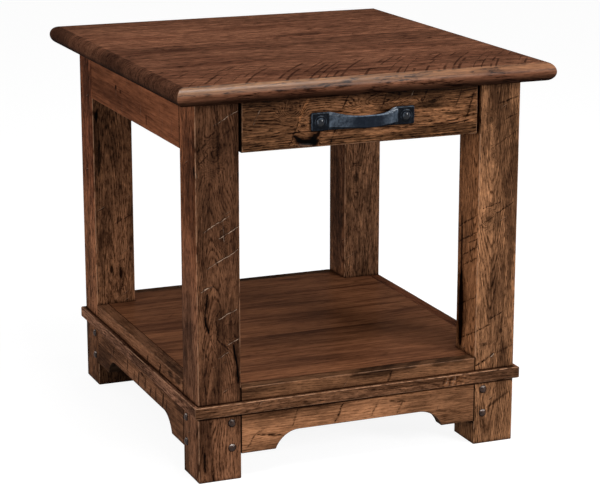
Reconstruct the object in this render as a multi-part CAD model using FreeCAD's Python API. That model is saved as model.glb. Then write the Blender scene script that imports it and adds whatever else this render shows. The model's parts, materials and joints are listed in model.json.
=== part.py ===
import FreeCAD, Part
import math
import os

from FreeCAD import Rotation, Vector

# Rustic hickory end table with one drawer and a low shelf. Millimetres.
# X runs to the right, Y to the back, Z up. The origin is on the floor, under the middle of the top.

# Overall sizes
table_height = 563.0
frame_width = 488.0
frame_depth = 536.0

# Top, edge-glued from boards that run from left to right
top_thickness = 27.0
top_side_overhang = 36.0
top_end_overhang = 37.0
top_corner_radius = 6.0
top_board_shares = (0.22, 0.17, 0.17, 0.27, 0.17)

# Legs
leg_size = 63.5
leg_arris = 1.6

# Tenons of the rails and aprons
tenon_thickness = 9.5
tenon_length = 25.0
mortise_end_gap = 1.5
rail_tenon_shoulder = 3.0
apron_tenon_shoulder = 9.0

# Side and back aprons under the top
apron_height = 73.6
apron_thickness = 19.0

# Lower rails, whose lower edge is a low arch between two flat feet
shelf_height = 132.4
rail_height = 96.6
rail_thickness = 19.0
rail_arris = 1.0
arch_foot = 52.0
arch_rise = 25.0
arch_radius = 38.0

# Band moulding, mitred round the lower frame
band_height = 17.0
band_projection = 6.5
band_drop = 19.7
band_round = 1.8

# Domed pegs through the tenons of the lower rails
peg_diameter = 10.5
peg_depth = 30.0
peg_head_height = 3.1
peg_sides = 12
peg_from_shoulder = 14.2
peg_low_rise = 11.2
peg_spacing = 36.0
peg_clearance = 0.05

# Shelf boards and the cleats under them
shelf_thickness = 19.0
shelf_clearance = 0.3
shelf_board_shares = (0.18, 0.22, 0.19, 0.21, 0.20)
cleat_size = 19.0

# Flat rail behind the drawer front, dovetailed into the tops of the front legs
top_rail_thickness = 16.0
top_rail_depth = 38.0
top_rail_tail_length = 22.0
top_rail_tail_shoulder = 3.5
top_rail_tail_flare = 3.5

# Wooden buttons that hold the top down, and their screws
button_width = 25.0
button_reach = 24.0
button_tongue_length = 6.0
button_tongue_thickness = 6.0
button_groove_clearance = 0.2
side_button_shares = (-0.36, 0.0, 0.36)
back_button_shares = (-0.28, 0.28)
top_rail_screw_shares = (-0.3, 0.3)
top_screw_diameter = 4.0
top_screw_bite = 13.0
top_screw_head_diameter = 8.0
top_screw_head_height = 2.4

# Drawer front
drawer_side_gap = 3.5
drawer_top_gap = 3.0
drawer_setback = 0.8
drawer_front_thickness = 20.0
drawer_front_round = 2.5
drawer_stop_gap = 1.5

# Drawer box
box_rear_gap = 56.0
box_height = 50.0
box_lift = 4.0
box_board = 12.7
box_bottom_thickness = 6.0
box_bottom_rise = 8.0
box_groove_depth = 6.0
box_groove_clearance = 0.15
tail_count = 3
tail_pin_width = 5.0
tail_flare = 1.9

# Drawer slides, each a fixed member, a middle member and a drawer member of bent sheet
slide_thickness = 12.7
slide_height = 35.0
slide_sheet = 1.2
slide_running_gap = 0.3
slide_side_gap = 0.8
slide_lip_gap = 2.7
slide_middle_inset = 8.0
slide_drawer_inset = 3.0
slide_block_height = 38.0

# Pan-head screws of the slides
slide_screw_diameter = 3.5
slide_screw_length = 14.0
slide_screw_head_diameter = 7.0
slide_screw_head_height = 1.2
drawer_screw_length = 10.0
fixed_screw_shares = (0.05, 0.45, 0.92)
drawer_screw_shares = (0.06, 0.5, 0.9)

# Screws from inside the drawer box into the drawer front
front_screw_diameter = 4.0
front_screw_bite = 12.0
front_screw_head_diameter = 8.5
front_screw_head_height = 2.2
front_screw_shares = (-0.38, -0.08, 0.08, 0.38)

# Forged strap pull
pull_centres = 128.0
pull_foot = 25.4
pull_strap = 4.8
pull_bevel = 1.4
pull_recess = 18.0
pull_recess_depth = 0.8
pull_projection = 28.0
pull_bend_radius = 16.0
pull_waist_height = 17.5
pull_waist_length = 30.0
pull_screw_diameter = 4.2
pull_screw_bite = 12.0
pull_screw_head_diameter = 13.0
pull_screw_head_height = 3.6
pull_screw_sides = 16

# Heads of pins and screws: the shares of radius and height at each ring, from the crown to the rim
domed_head_shares = ((0.38, 1.0), (0.78, 0.68), (1.0, 0.22))
pan_head_shares = ((0.6, 1.0), (1.0, 0.5))
screw_sides = 8

# Radial room round every screw, how far cutting tools run past a face, and what counts as no distance
screw_clearance = 0.05
cut_overrun = 1.0
same_place = 0.001

# Places worked out from the sizes above
half_width = frame_width / 2
half_depth = frame_depth / 2
top_width = frame_width + 2 * top_side_overhang
top_depth = frame_depth + 2 * top_end_overhang
bay_half_width = half_width - leg_size
bay_half_depth = half_depth - leg_size
top_underside = table_height - top_thickness
apron_bottom = top_underside - apron_height
rail_bottom = shelf_height - rail_height
band_top = shelf_height - band_drop
shelf_underside = shelf_height - shelf_thickness
drawer_face_y = -half_depth + drawer_setback
drawer_back_y = drawer_face_y + drawer_front_thickness
drawer_top = top_underside - drawer_top_gap
box_half_width = bay_half_width - slide_thickness
box_low = apron_bottom + box_lift
box_high = box_low + box_height
box_rear_y = half_depth - apron_thickness - box_rear_gap
slide_centre_z = box_low + box_height / 2
slide_front_y = drawer_back_y + drawer_stop_gap
top_rail_low = top_underside - top_rail_thickness
pull_centre_z = (apron_bottom + drawer_top) / 2

# Directions
ORIGIN = Vector(0, 0, 0)
TO_RIGHT = Vector(1, 0, 0)
TO_BACK = Vector(0, 1, 0)
UP = Vector(0, 0, 1)


# Helpers for all pieces

def block(x, y, z):
    """A box from three (low, high) pairs."""
    return Part.makeBox(x[1] - x[0], y[1] - y[0], z[1] - z[0], Vector(x[0], y[0], z[0]))


def flat_face(corners):
    """The face inside straight lines from corner to corner."""
    return Part.Face(Part.makePolygon(corners + [corners[0]]))


def prism(points, thickness):
    """A straight-sided outline, carried along the vector thickness."""
    return flat_face(points).extrude(thickness)


def arc(start, middle, end):
    """An edge that is a circular arc through three points."""
    return Part.Arc(start, middle, end).toShape()


def runs_along(edge, direction):
    """True for a straight edge parallel to a direction."""
    if not isinstance(edge.Curve, Part.Line):
        return False
    return edge.Curve.Direction.cross(direction).Length < same_place


def middle_of(edge):
    """The point halfway along an edge."""
    return edge.valueAt((edge.FirstParameter + edge.LastParameter) / 2)


def lies_in(edge, direction, place):
    """True when an edge lies in the plane square to a direction at a place."""
    points = [vertex.Point for vertex in edge.Vertexes] + [middle_of(edge)]
    return all(abs(point.dot(direction) - place) < same_place for point in points)


def mirrored_x(shape):
    """The same piece on the other side, left for right."""
    return shape.mirror(ORIGIN, TO_RIGHT)


def mirrored_y(shape):
    """The same piece at the other end, front for back."""
    return shape.mirror(ORIGIN, TO_BACK)


def on_front(shape):
    """Carries a piece drawn with its outer face on y = 0 to the front of the frame."""
    return shape.translated(Vector(0, -half_depth, 0))


def on_left(shape):
    """Carries a piece drawn the same way to the left side of the frame."""
    quarter_turned = shape.rotated(ORIGIN, UP, -90)
    return quarter_turned.translated(Vector(-half_width, 0, 0))


def aimed(shape, point, direction):
    """Carries a piece drawn upward from the origin to a point, aimed along a direction."""
    placed = shape.copy()
    placed.Placement = FreeCAD.Placement(point, Rotation(UP, direction))
    return placed


def without(shape, tools):
    """A piece with every one of the tools cut away."""
    return shape.cut(list(tools))


def save(name, *solids):
    """Writes one node: a single solid, or a group of separate alike solids."""
    shape = solids[0] if len(solids) == 1 else Part.makeCompound(list(solids))
    shape.exportStep("parts/" + name + ".step")


def board_spans(low, high, shares):
    """The (low, high) pair of each board of a panel, from shares of its width."""
    edges = [low]
    for share in shares:
        edges.append(edges[-1] + share * (high - low))
    return list(zip(edges[:-1], edges[1:]))


# Pins and screws, drawn with the seat under the head at the origin and the shank upward

def ring_points(radius, height, sides):
    """The corners of a regular outline round the Z axis."""
    turns = [2 * math.pi * index / sides for index in range(sides)]
    return [Vector(radius * math.cos(turn), radius * math.sin(turn), height) for turn in turns]


def turned(rings, sides):
    """A solid round the Z axis from (radius, height) rings, with flat sides in place of round ones."""
    rows = [ring_points(radius, height, sides) for radius, height in rings]
    faces = [flat_face(rows[0]), flat_face(rows[-1])]
    for low, high in zip(rows[:-1], rows[1:]):
        for index in range(sides):
            faces.append(flat_face([low[index - 1], low[index], high[index], high[index - 1]]))
    shell = Part.makeShell(faces)
    shell.sewShape()
    return Part.makeSolid(shell)


def headed_pin(shank_diameter, length, head_diameter, head_height, head_shares, sides):
    """A pin or screw. Its head may be as wide as its shank, as on a peg."""
    head_radius = head_diameter / 2
    shank_radius = shank_diameter / 2
    rings = [(radius * head_radius, -height * head_height) for radius, height in head_shares]
    if head_radius > shank_radius:
        rings += [(head_radius, 0), (shank_radius, 0)]
    return turned(rings + [(shank_radius, length)], sides)


def pan_screw(diameter, length, head_diameter, head_height):
    """A screw with a low pan head."""
    return headed_pin(diameter, length, head_diameter, head_height, pan_head_shares, screw_sides)


def pin_hole(diameter, length, clearance, sides):
    """The hole for a pin or screw, open through the face under its head."""
    radius = diameter / 2 + clearance
    return turned([(radius, -cut_overrun), (radius, length)], sides)


def screw_hole(diameter, length):
    return pin_hole(diameter, length, screw_clearance, screw_sides)


# Joinery shared by the legs, rails and aprons, drawn with the outer face on y = 0

def tenon_pair(overall, z_span, board_thickness, length):
    """The two end tenons of a board that stands between legs, overall apart outside."""
    shoulder = overall / 2 - leg_size
    inset = (board_thickness - tenon_thickness) / 2
    right = block((shoulder, shoulder + length), (inset, inset + tenon_thickness), z_span)
    return [right, mirrored_x(right)]


def rail_tenons(overall, length):
    z_span = (rail_bottom + rail_tenon_shoulder, shelf_height - rail_tenon_shoulder)
    return tenon_pair(overall, z_span, rail_thickness, length)


def apron_tenons(overall, length):
    z_span = (apron_bottom + apron_tenon_shoulder, top_underside - apron_tenon_shoulder)
    return tenon_pair(overall, z_span, apron_thickness, length)


def peg_points(overall):
    """Where the four pegs of one rail enter the legs."""
    out = overall / 2 - leg_size + peg_from_shoulder
    low = rail_bottom + peg_low_rise
    return [Vector(x, 0, z) for x in (-out, out) for z in (low, low + peg_spacing)]


def rail_pegs(overall):
    peg = headed_pin(
        peg_diameter, peg_depth, peg_diameter, peg_head_height, domed_head_shares, peg_sides
    )
    return [aimed(peg, point, TO_BACK) for point in peg_points(overall)]


def peg_holes(overall):
    hole = pin_hole(peg_diameter, peg_depth, peg_clearance, peg_sides)
    return [aimed(hole, point, TO_BACK) for point in peg_points(overall)]


# Lower frame

def rail_outline(overall):
    """The face of a lower rail: a low arch with round corners between two flat feet."""
    end = overall / 2 - leg_size
    tip = end - arch_foot
    run = math.sqrt(arch_radius ** 2 - (arch_radius - arch_rise) ** 2)
    spring = tip - run
    crown = rail_bottom + arch_rise
    lean = math.asin(run / arch_radius) / 2
    bulge_x = spring + arch_radius * math.sin(lean)
    bulge_z = crown - arch_radius * (1 - math.cos(lean))
    frame = [
        Vector(tip, 0, rail_bottom),
        Vector(end, 0, rail_bottom),
        Vector(end, 0, shelf_height),
        Vector(-end, 0, shelf_height),
        Vector(-end, 0, rail_bottom),
        Vector(-tip, 0, rail_bottom),
    ]
    left_curve = arc(frame[-1], Vector(-bulge_x, 0, bulge_z), Vector(-spring, 0, crown))
    level = Part.makeLine(Vector(-spring, 0, crown), Vector(spring, 0, crown))
    right_curve = arc(Vector(spring, 0, crown), Vector(bulge_x, 0, bulge_z), frame[0])
    return Part.Wire(Part.makePolygon(frame).Edges + [left_curve, level, right_curve])


def lower_rail(overall):
    """A lower rail with chamfered outer edges, tenons and peg holes."""
    board = Part.Face(rail_outline(overall)).extrude(TO_BACK * rail_thickness)
    outer = [e for e in board.Edges if lies_in(e, TO_BACK, 0) and not runs_along(e, UP)]
    board = board.makeChamfer(rail_arris, outer)
    board = board.fuse(rail_tenons(overall, tenon_length))
    return without(board, peg_holes(overall))


def band(overall):
    """One mitred length of the band moulding, its two outer edges rounded."""
    inner = overall / 2
    outer = inner + band_projection
    low = band_top - band_height
    outline = [
        Vector(-inner, 0, low),
        Vector(inner, 0, low),
        Vector(outer, -band_projection, low),
        Vector(-outer, -band_projection, low),
    ]
    strip = prism(outline, UP * band_height)
    front = [e for e in strip.Edges if lies_in(e, TO_BACK, -band_projection) and runs_along(e, TO_RIGHT)]
    return strip.makeFillet(band_round, front)


def cleat(overall):
    """The strip inside a lower rail that carries the shelf."""
    end = overall / 2 - leg_size
    inner = (rail_thickness, rail_thickness + cleat_size)
    return block((-end, end), inner, (shelf_underside - cleat_size, shelf_underside))


def shelf_boards():
    """The boards of the shelf from front to back, notched round the legs."""
    reach_x = half_width - rail_thickness - shelf_clearance
    reach_y = half_depth - rail_thickness - shelf_clearance
    thickness = (shelf_underside, shelf_height)
    notch = block(
        (bay_half_width - shelf_clearance, half_width),
        (bay_half_depth - shelf_clearance, half_depth),
        thickness,
    )
    notches = [notch, mirrored_x(notch), mirrored_y(notch), mirrored_x(mirrored_y(notch))]
    spans = board_spans(-reach_y, reach_y, shelf_board_shares)
    return [without(block((-reach_x, reach_x), span, thickness), notches) for span in spans]


# Upper frame

def apron(overall):
    """A side or back apron with its tenons, and the groove for the buttons inside."""
    end = overall / 2 - leg_size
    board = block((-end, end), (0, apron_thickness), (apron_bottom, top_underside))
    lower_edge = [e for e in board.Edges if lies_in(e, TO_BACK, 0) and lies_in(e, UP, apron_bottom)]
    board = board.makeFillet(rail_arris, lower_edge)
    board = board.fuse(apron_tenons(overall, tenon_length))
    groove_y = apron_thickness - button_tongue_length - button_groove_clearance
    groove_low = top_rail_low - button_groove_clearance
    groove_high = top_rail_low + button_tongue_thickness + button_groove_clearance
    groove = block((-end, end), (groove_y, apron_thickness + cut_overrun), (groove_low, groove_high))
    return board.cut(groove)


def top_rail():
    """The flat rail behind the drawer front, with a dovetail at each end."""
    front = slide_front_y
    middle = front + top_rail_depth / 2
    tip_half = top_rail_depth / 2 - top_rail_tail_shoulder
    root_half = tip_half - top_rail_tail_flare
    end = bay_half_width + top_rail_tail_length
    outline = [
        Vector(bay_half_width, middle - root_half, top_rail_low),
        Vector(end, middle - tip_half, top_rail_low),
        Vector(end, middle + tip_half, top_rail_low),
        Vector(bay_half_width, middle + root_half, top_rail_low),
    ]
    tail = prism(outline, UP * top_rail_thickness)
    span = (-bay_half_width, bay_half_width)
    bar = block(span, (front, front + top_rail_depth), (top_rail_low, top_underside))
    return bar.fuse([tail, mirrored_x(tail)])


def button(place):
    """A wooden button: a body under the top and a tongue in the apron's groove."""
    width = (place - button_width / 2, place + button_width / 2)
    body = block(width, (apron_thickness, apron_thickness + button_reach), (top_rail_low, top_underside))
    tongue_depth = (apron_thickness - button_tongue_length, apron_thickness)
    tongue = block(width, tongue_depth, (top_rail_low, top_rail_low + button_tongue_thickness))
    return body.fuse(tongue)


def button_places(overall, shares):
    return [share * (overall - 2 * leg_size) for share in shares]


def buttons():
    """All the buttons: on both side aprons and on the back apron."""
    left = [on_left(button(place)) for place in button_places(frame_depth, side_button_shares)]
    back = [mirrored_y(on_front(button(place))) for place in button_places(frame_width, back_button_shares)]
    return left + [mirrored_x(piece) for piece in left] + back


def top_screw_points():
    """Where the screws up into the top start: under each button and under the top rail."""
    inward = apron_thickness + button_reach / 2
    points = []
    for place in button_places(frame_depth, side_button_shares):
        points.append(Vector(-half_width + inward, place, top_rail_low))
        points.append(Vector(half_width - inward, place, top_rail_low))
    for place in button_places(frame_width, back_button_shares):
        points.append(Vector(place, half_depth - inward, top_rail_low))
    for place in button_places(frame_width, top_rail_screw_shares):
        points.append(Vector(place, slide_front_y + top_rail_depth / 2, top_rail_low))
    return points


def top_screws():
    length = top_rail_thickness + top_screw_bite
    piece = pan_screw(top_screw_diameter, length, top_screw_head_diameter, top_screw_head_height)
    return [aimed(piece, point, UP) for point in top_screw_points()]


def top_screw_holes():
    hole = screw_hole(top_screw_diameter, top_rail_thickness + top_screw_bite)
    return [aimed(hole, point, UP) for point in top_screw_points()]


def top_boards():
    """The boards of the top from front to back, with a full round edge on all four sides."""
    round_radius = top_thickness / 2

    def rounded_sheet(length, width):
        """A sheet whose two long edges, square to X, are half round."""
        flat = length / 2 - round_radius
        low = [Vector(-flat, 0, top_underside), Vector(flat, 0, top_underside)]
        high = [Vector(flat, 0, table_height), Vector(-flat, 0, table_height)]
        middle = top_underside + round_radius
        outline = Part.Wire([
            Part.makeLine(low[0], low[1]),
            arc(low[1], Vector(length / 2, 0, middle), high[0]),
            Part.makeLine(high[0], high[1]),
            arc(high[1], Vector(-length / 2, 0, middle), low[0]),
        ])
        sheet = Part.Face(outline).extrude(TO_BACK * width)
        return sheet.translated(Vector(0, -width / 2, 0))

    across = rounded_sheet(top_width, top_depth)
    along = rounded_sheet(top_depth, top_width).rotated(ORIGIN, UP, 90)
    plan = block(
        (-top_width / 2, top_width / 2),
        (-top_depth / 2, top_depth / 2),
        (top_underside, table_height),
    )
    plan = plan.makeFillet(top_corner_radius, [e for e in plan.Edges if runs_along(e, UP)])
    sheet = without(across.common(along).common(plan), top_screw_holes())
    boards = []
    for span in board_spans(-top_depth / 2, top_depth / 2, top_board_shares):
        boards.append(sheet.common(block((-top_width / 2, top_width / 2), span, (top_underside, table_height))))
    return boards


# Legs

def leg_blank():
    """The front left leg with everything that all four legs have."""
    post = block((-half_width, -bay_half_width), (-half_depth, -bay_half_depth), (0, top_underside))
    post = post.makeChamfer(leg_arris, [e for e in post.Edges if runs_along(e, UP)])
    depth = tenon_length + mortise_end_gap
    cuts = [on_front(tool) for tool in rail_tenons(frame_width, depth) + peg_holes(frame_width)]
    sides = rail_tenons(frame_depth, depth) + apron_tenons(frame_depth, depth) + peg_holes(frame_depth)
    cuts += [on_left(tool) for tool in sides]
    return without(post, cuts)


def front_left_leg():
    """The leg blank with the dovetail socket of the top rail."""
    return without(leg_blank(), [top_rail()] + slide_holes())


def back_left_leg():
    """The mirrored leg blank with the mortise of the back apron."""
    depth = tenon_length + mortise_end_gap
    back_tools = [mirrored_y(on_front(tool)) for tool in apron_tenons(frame_width, depth)]
    return without(mirrored_y(leg_blank()), back_tools)


# Drawer slides, drawn on the left side

def slide_channel(near, far, half_height, y_span, web_side):
    """A bent sheet channel between two depths, its web on the near or the far side."""
    face_x = -bay_half_width
    body = block((face_x + near, face_x + far), y_span, (-half_height, half_height))
    if web_side == "near":
        hollow_x = (face_x + near + slide_sheet, face_x + far + cut_overrun)
    else:
        hollow_x = (face_x + near - cut_overrun, face_x + far - slide_sheet)
    hollow_half = half_height - slide_sheet
    hollow = block(hollow_x, y_span, (-hollow_half, hollow_half))
    return body.cut(hollow).translated(Vector(0, 0, slide_centre_z))


slide_middle_near = slide_sheet + slide_screw_head_height + slide_side_gap
slide_middle_half_height = slide_height / 2 - slide_sheet - slide_running_gap
slide_drawer_half_height = slide_middle_half_height - slide_sheet - slide_running_gap


def fixed_screw_points():
    """Under the heads of the screws that hold the fixed member, on its web."""
    x = -bay_half_width + slide_sheet
    length = box_rear_y - slide_front_y
    return [Vector(x, slide_front_y + share * length, slide_centre_z) for share in fixed_screw_shares]


def drawer_screw_points():
    """Under the heads of the screws that hold the drawer member, on its web."""
    x = -box_half_width - slide_sheet
    length = box_rear_y - drawer_back_y
    return [Vector(x, drawer_back_y + share * length, slide_centre_z) for share in drawer_screw_shares]


def slide_holes():
    hole = screw_hole(slide_screw_diameter, slide_screw_length)
    return [aimed(hole, point, -TO_RIGHT) for point in fixed_screw_points()]


def drawer_slide_holes():
    hole = screw_hole(slide_screw_diameter, drawer_screw_length)
    return [aimed(hole, point, TO_RIGHT) for point in drawer_screw_points()]


def fixed_screws():
    piece = pan_screw(
        slide_screw_diameter, slide_screw_length, slide_screw_head_diameter, slide_screw_head_height
    )
    return [aimed(piece, point, -TO_RIGHT) for point in fixed_screw_points()]


def drawer_screws():
    piece = pan_screw(
        slide_screw_diameter, drawer_screw_length, slide_screw_head_diameter, slide_screw_head_height
    )
    return [aimed(piece, point, TO_RIGHT) for point in drawer_screw_points()]


def slide_fixed():
    """The member screwed to the front leg and the slide block."""
    far = slide_thickness - slide_lip_gap
    member = slide_channel(0, far, slide_height / 2, (slide_front_y, box_rear_y), "near")
    return without(member, slide_holes())


def slide_middle():
    """The member that runs between the other two and moves half as far as the drawer."""
    far = slide_thickness - slide_sheet - slide_side_gap
    y_span = (slide_front_y + slide_middle_inset, box_rear_y - slide_middle_inset)
    return slide_channel(slide_middle_near, far, slide_middle_half_height, y_span, "near")


def slide_drawer():
    """The member screwed to the drawer's side."""
    near = slide_middle_near + slide_sheet + slide_side_gap
    y_span = (drawer_back_y + slide_drawer_inset, box_rear_y - slide_drawer_inset)
    member = slide_channel(near, slide_thickness, slide_drawer_half_height, y_span, "far")
    return without(member, drawer_slide_holes())


def slide_block():
    """The wooden block that fills out the apron to the legs' inner faces behind the slide."""
    z_span = (slide_centre_z - slide_block_height / 2, slide_centre_z + slide_block_height / 2)
    x_span = (-half_width + apron_thickness, -bay_half_width)
    body = block(x_span, (-bay_half_depth, bay_half_depth), z_span)
    return without(body, slide_holes())


# Drawer

def tail_set(shoulder_y, end_y):
    """The dovetails at one end of the left drawer side, wider towards the end of the board."""
    pitch = box_height / tail_count
    tip_half = (pitch - tail_pin_width) / 2
    root_half = tip_half - tail_flare
    inner = -box_half_width
    tails = []
    for index in range(tail_count):
        centre = box_low + (index + 0.5) * pitch
        outline = [
            Vector(inner, shoulder_y, centre - root_half),
            Vector(inner, end_y, centre - tip_half),
            Vector(inner, end_y, centre + tip_half),
            Vector(inner, shoulder_y, centre + root_half),
        ]
        tails.append(prism(outline, TO_RIGHT * box_board))
    return tails


def left_tails():
    """The dovetails at both ends of the left drawer side."""
    front = tail_set(drawer_back_y + box_board, drawer_back_y)
    rear = tail_set(box_rear_y - box_board, box_rear_y)
    return front + rear


def bottom_panel(clearance):
    """The drawer bottom, or with a clearance the grooves that hold it."""
    half = box_half_width - box_board + box_groove_depth + clearance
    inset = box_board - box_groove_depth - clearance
    low = box_low + box_bottom_rise - clearance
    high = box_low + box_bottom_rise + box_bottom_thickness + clearance
    return block((-half, half), (drawer_back_y + inset, box_rear_y - inset), (low, high))


def box_side():
    """The left drawer side with its dovetails and the groove for the bottom."""
    x_span = (-box_half_width, -box_half_width + box_board)
    y_span = (drawer_back_y + box_board, box_rear_y - box_board)
    board = block(x_span, y_span, (box_low, box_high)).fuse(left_tails())
    return without(board, [bottom_panel(box_groove_clearance)] + drawer_slide_holes())


def box_end(near_y, far_y):
    """The front or back of the drawer box, cut out between the dovetails."""
    board = block((-box_half_width, box_half_width), (near_y, far_y), (box_low, box_high))
    tails = left_tails()
    cuts = tails + [mirrored_x(tail) for tail in tails] + [bottom_panel(box_groove_clearance)]
    return without(board, cuts + front_screw_holes())


def front_screw_points():
    """Under the heads of the screws inside the drawer box."""
    y = drawer_back_y + box_board
    return [Vector(share * 2 * box_half_width, y, slide_centre_z) for share in front_screw_shares]


def front_screws():
    length = box_board + front_screw_bite
    piece = pan_screw(front_screw_diameter, length, front_screw_head_diameter, front_screw_head_height)
    return [aimed(piece, point, -TO_BACK) for point in front_screw_points()]


def front_screw_holes():
    hole = screw_hole(front_screw_diameter, box_board + front_screw_bite)
    return [aimed(hole, point, -TO_BACK) for point in front_screw_points()]


def drawer_front():
    """The solid drawer front with rounded front edges."""
    half = bay_half_width - drawer_side_gap
    board = block((-half, half), (drawer_face_y, drawer_back_y), (apron_bottom, drawer_top))
    face_edges = [e for e in board.Edges if lies_in(e, TO_BACK, drawer_face_y)]
    board = board.makeFillet(drawer_front_round, face_edges)
    return without(board, pull_screw_holes() + front_screw_holes())


# Strap pull, drawn round its own middle with the drawer face on y = 0

pull_bar_half = (pull_centres - pull_foot) / 2
pull_bar_rise = pull_projection - pull_strap
pull_turn = 2 * math.atan(pull_bar_rise / pull_bar_half)
pull_arch_radius = pull_bar_half / math.sin(pull_turn) - pull_bend_radius - pull_strap


def strap_line(depth):
    """One surface of the bent strap, from the right foot to the left, at a depth into the strap."""
    bend = pull_bend_radius + pull_strap - depth
    arch = pull_arch_radius + depth
    bend_centre_y = -pull_bend_radius - pull_strap
    arch_centre_y = pull_arch_radius - pull_bar_rise

    def on_bend(angle):
        return Vector(pull_bar_half - bend * math.sin(angle), bend_centre_y + bend * math.cos(angle), 0)

    def other_side(point):
        return Vector(-point.x, point.y, 0)

    start = on_bend(0)
    halfway = on_bend(pull_turn / 2)
    join = on_bend(pull_turn)
    apex = Vector(0, arch_centre_y - arch, 0)
    return [
        arc(start, halfway, join),
        arc(join, apex, other_side(join)),
        arc(other_side(join), other_side(halfway), other_side(start)),
    ]


def strap_elevation():
    """The front view of the strap between its feet: narrow at the waist and flared to each foot."""
    foot_half = pull_foot / 2
    waist_half = pull_waist_height / 2
    level = pull_waist_length / 2
    run = pull_bar_half - level
    drop = foot_half - waist_half
    radius = (run ** 2 + drop ** 2) / (2 * drop)
    lean = math.asin(run / radius) / 2
    halfway_x = level + radius * math.sin(lean)
    halfway_z = waist_half + radius * (1 - math.cos(lean))

    def flare(side, top):
        foot = Vector(side * pull_bar_half, 0, top * foot_half)
        halfway = Vector(side * halfway_x, 0, top * halfway_z)
        waist = Vector(side * level, 0, top * waist_half)
        return arc(foot, halfway, waist)

    edges = [flare(side, top) for side in (-1, 1) for top in (-1, 1)]
    for top in (-1, 1):
        edges.append(Part.makeLine(Vector(-level, 0, top * waist_half), Vector(level, 0, top * waist_half)))
    for side in (-1, 1):
        x = side * pull_bar_half
        edges.append(Part.makeLine(Vector(x, 0, -foot_half), Vector(x, 0, foot_half)))
    outline = Part.Wire(Part.__sortEdges__(edges))
    reach = Part.Face(outline).extrude(-TO_BACK * (pull_projection + cut_overrun))
    return reach.translated(TO_BACK * cut_overrun)


def pull_bar():
    """The arched strap between the feet."""
    near = strap_line(0)
    face = strap_line(pull_strap)
    ends = []
    for side in (-1, 1):
        x = side * pull_bar_half
        ends.append(Part.makeLine(Vector(x, 0, 0), Vector(x, -pull_strap, 0)))
    outline = Part.Wire(Part.__sortEdges__(near + face + ends))
    sheet = Part.Face(outline).extrude(UP * pull_foot).translated(UP * (-pull_foot / 2))
    return sheet.common(strap_elevation()).Solids[0]


def pull_foot_plate(side):
    """One square foot with bevelled edges and a shallow square recess."""
    centre = side * pull_centres / 2
    half = pull_foot / 2
    plate = block((centre - half, centre + half), (-pull_strap, 0), (-half, half))
    inner_x = side * pull_bar_half
    face_edges = [
        e for e in plate.Edges
        if lies_in(e, TO_BACK, -pull_strap) and not lies_in(e, TO_RIGHT, inner_x)
    ]
    plate = plate.makeChamfer(pull_bevel, face_edges)
    recess_half = pull_recess / 2
    recess = block(
        (centre - recess_half, centre + recess_half),
        (-pull_strap - cut_overrun, -pull_strap + pull_recess_depth),
        (-recess_half, recess_half),
    )
    return plate.cut(recess)


def pull():
    """The whole pull in one piece, on the drawer front."""
    body = pull_bar().fuse([pull_foot_plate(-1), pull_foot_plate(1)])
    placed = body.translated(Vector(0, drawer_face_y, pull_centre_z))
    return without(placed, pull_screw_holes())


def pull_screw_points():
    """The bottom of each foot's recess."""
    y = drawer_face_y - pull_strap + pull_recess_depth
    return [Vector(side * pull_centres / 2, y, pull_centre_z) for side in (-1, 1)]


def pull_screw_length():
    return pull_strap - pull_recess_depth + pull_screw_bite


def pull_screws():
    piece = headed_pin(
        pull_screw_diameter,
        pull_screw_length(),
        pull_screw_head_diameter,
        pull_screw_head_height,
        domed_head_shares,
        pull_screw_sides,
    )
    return [aimed(piece, point, TO_BACK) for point in pull_screw_points()]


def pull_screw_holes():
    hole = pin_hole(pull_screw_diameter, pull_screw_length(), screw_clearance, pull_screw_sides)
    return [aimed(hole, point, TO_BACK) for point in pull_screw_points()]


# Writing every node

def save_frame():
    """Legs, lower frame, shelf and band."""
    front_leg = front_left_leg()
    back_leg = back_left_leg()
    save("leg_front_left", front_leg)
    save("leg_front_right", mirrored_x(front_leg))
    save("leg_back_left", back_leg)
    save("leg_back_right", mirrored_x(back_leg))
    kinds = {"lower_rail": lower_rail, "band": band, "shelf_cleat": cleat}
    for name, make in kinds.items():
        front = on_front(make(frame_width))
        left = on_left(make(frame_depth))
        save(name + "_front", front)
        save(name + "_back", mirrored_y(front))
        save(name + "_left", left)
        save(name + "_right", mirrored_x(left))
    front_pegs = [on_front(peg) for peg in rail_pegs(frame_width)]
    left_pegs = [on_left(peg) for peg in rail_pegs(frame_depth)]
    all_pegs = front_pegs + [mirrored_y(peg) for peg in front_pegs]
    all_pegs += left_pegs + [mirrored_x(peg) for peg in left_pegs]
    save("rail_pegs", *all_pegs)
    for number, board in enumerate(shelf_boards(), 1):
        save("shelf_board_" + str(number), board)


def save_upper():
    """Aprons, top rail, top boards and what fastens the top."""
    side = on_left(apron(frame_depth))
    save("apron_left", side)
    save("apron_right", mirrored_x(side))
    save("apron_back", mirrored_y(on_front(apron(frame_width))))
    save("top_rail_front", without(top_rail(), top_screw_holes()))
    save("top_buttons", *[without(piece, top_screw_holes()) for piece in buttons()])
    save("top_screws", *top_screws())
    for number, board in enumerate(top_boards(), 1):
        save("top_board_" + str(number), board)


def save_slides():
    """Both slides with their blocks and screws."""
    pieces = {
        "slide_block": slide_block(),
        "slide_fixed": slide_fixed(),
        "slide_middle": slide_middle(),
        "slide_drawer": slide_drawer(),
    }
    for name, piece in pieces.items():
        save(name + "_left", piece)
        save(name + "_right", mirrored_x(piece))
    save("slide_fixed_screws", *(fixed_screws() + [mirrored_x(piece) for piece in fixed_screws()]))
    save("slide_drawer_screws", *(drawer_screws() + [mirrored_x(piece) for piece in drawer_screws()]))


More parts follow.
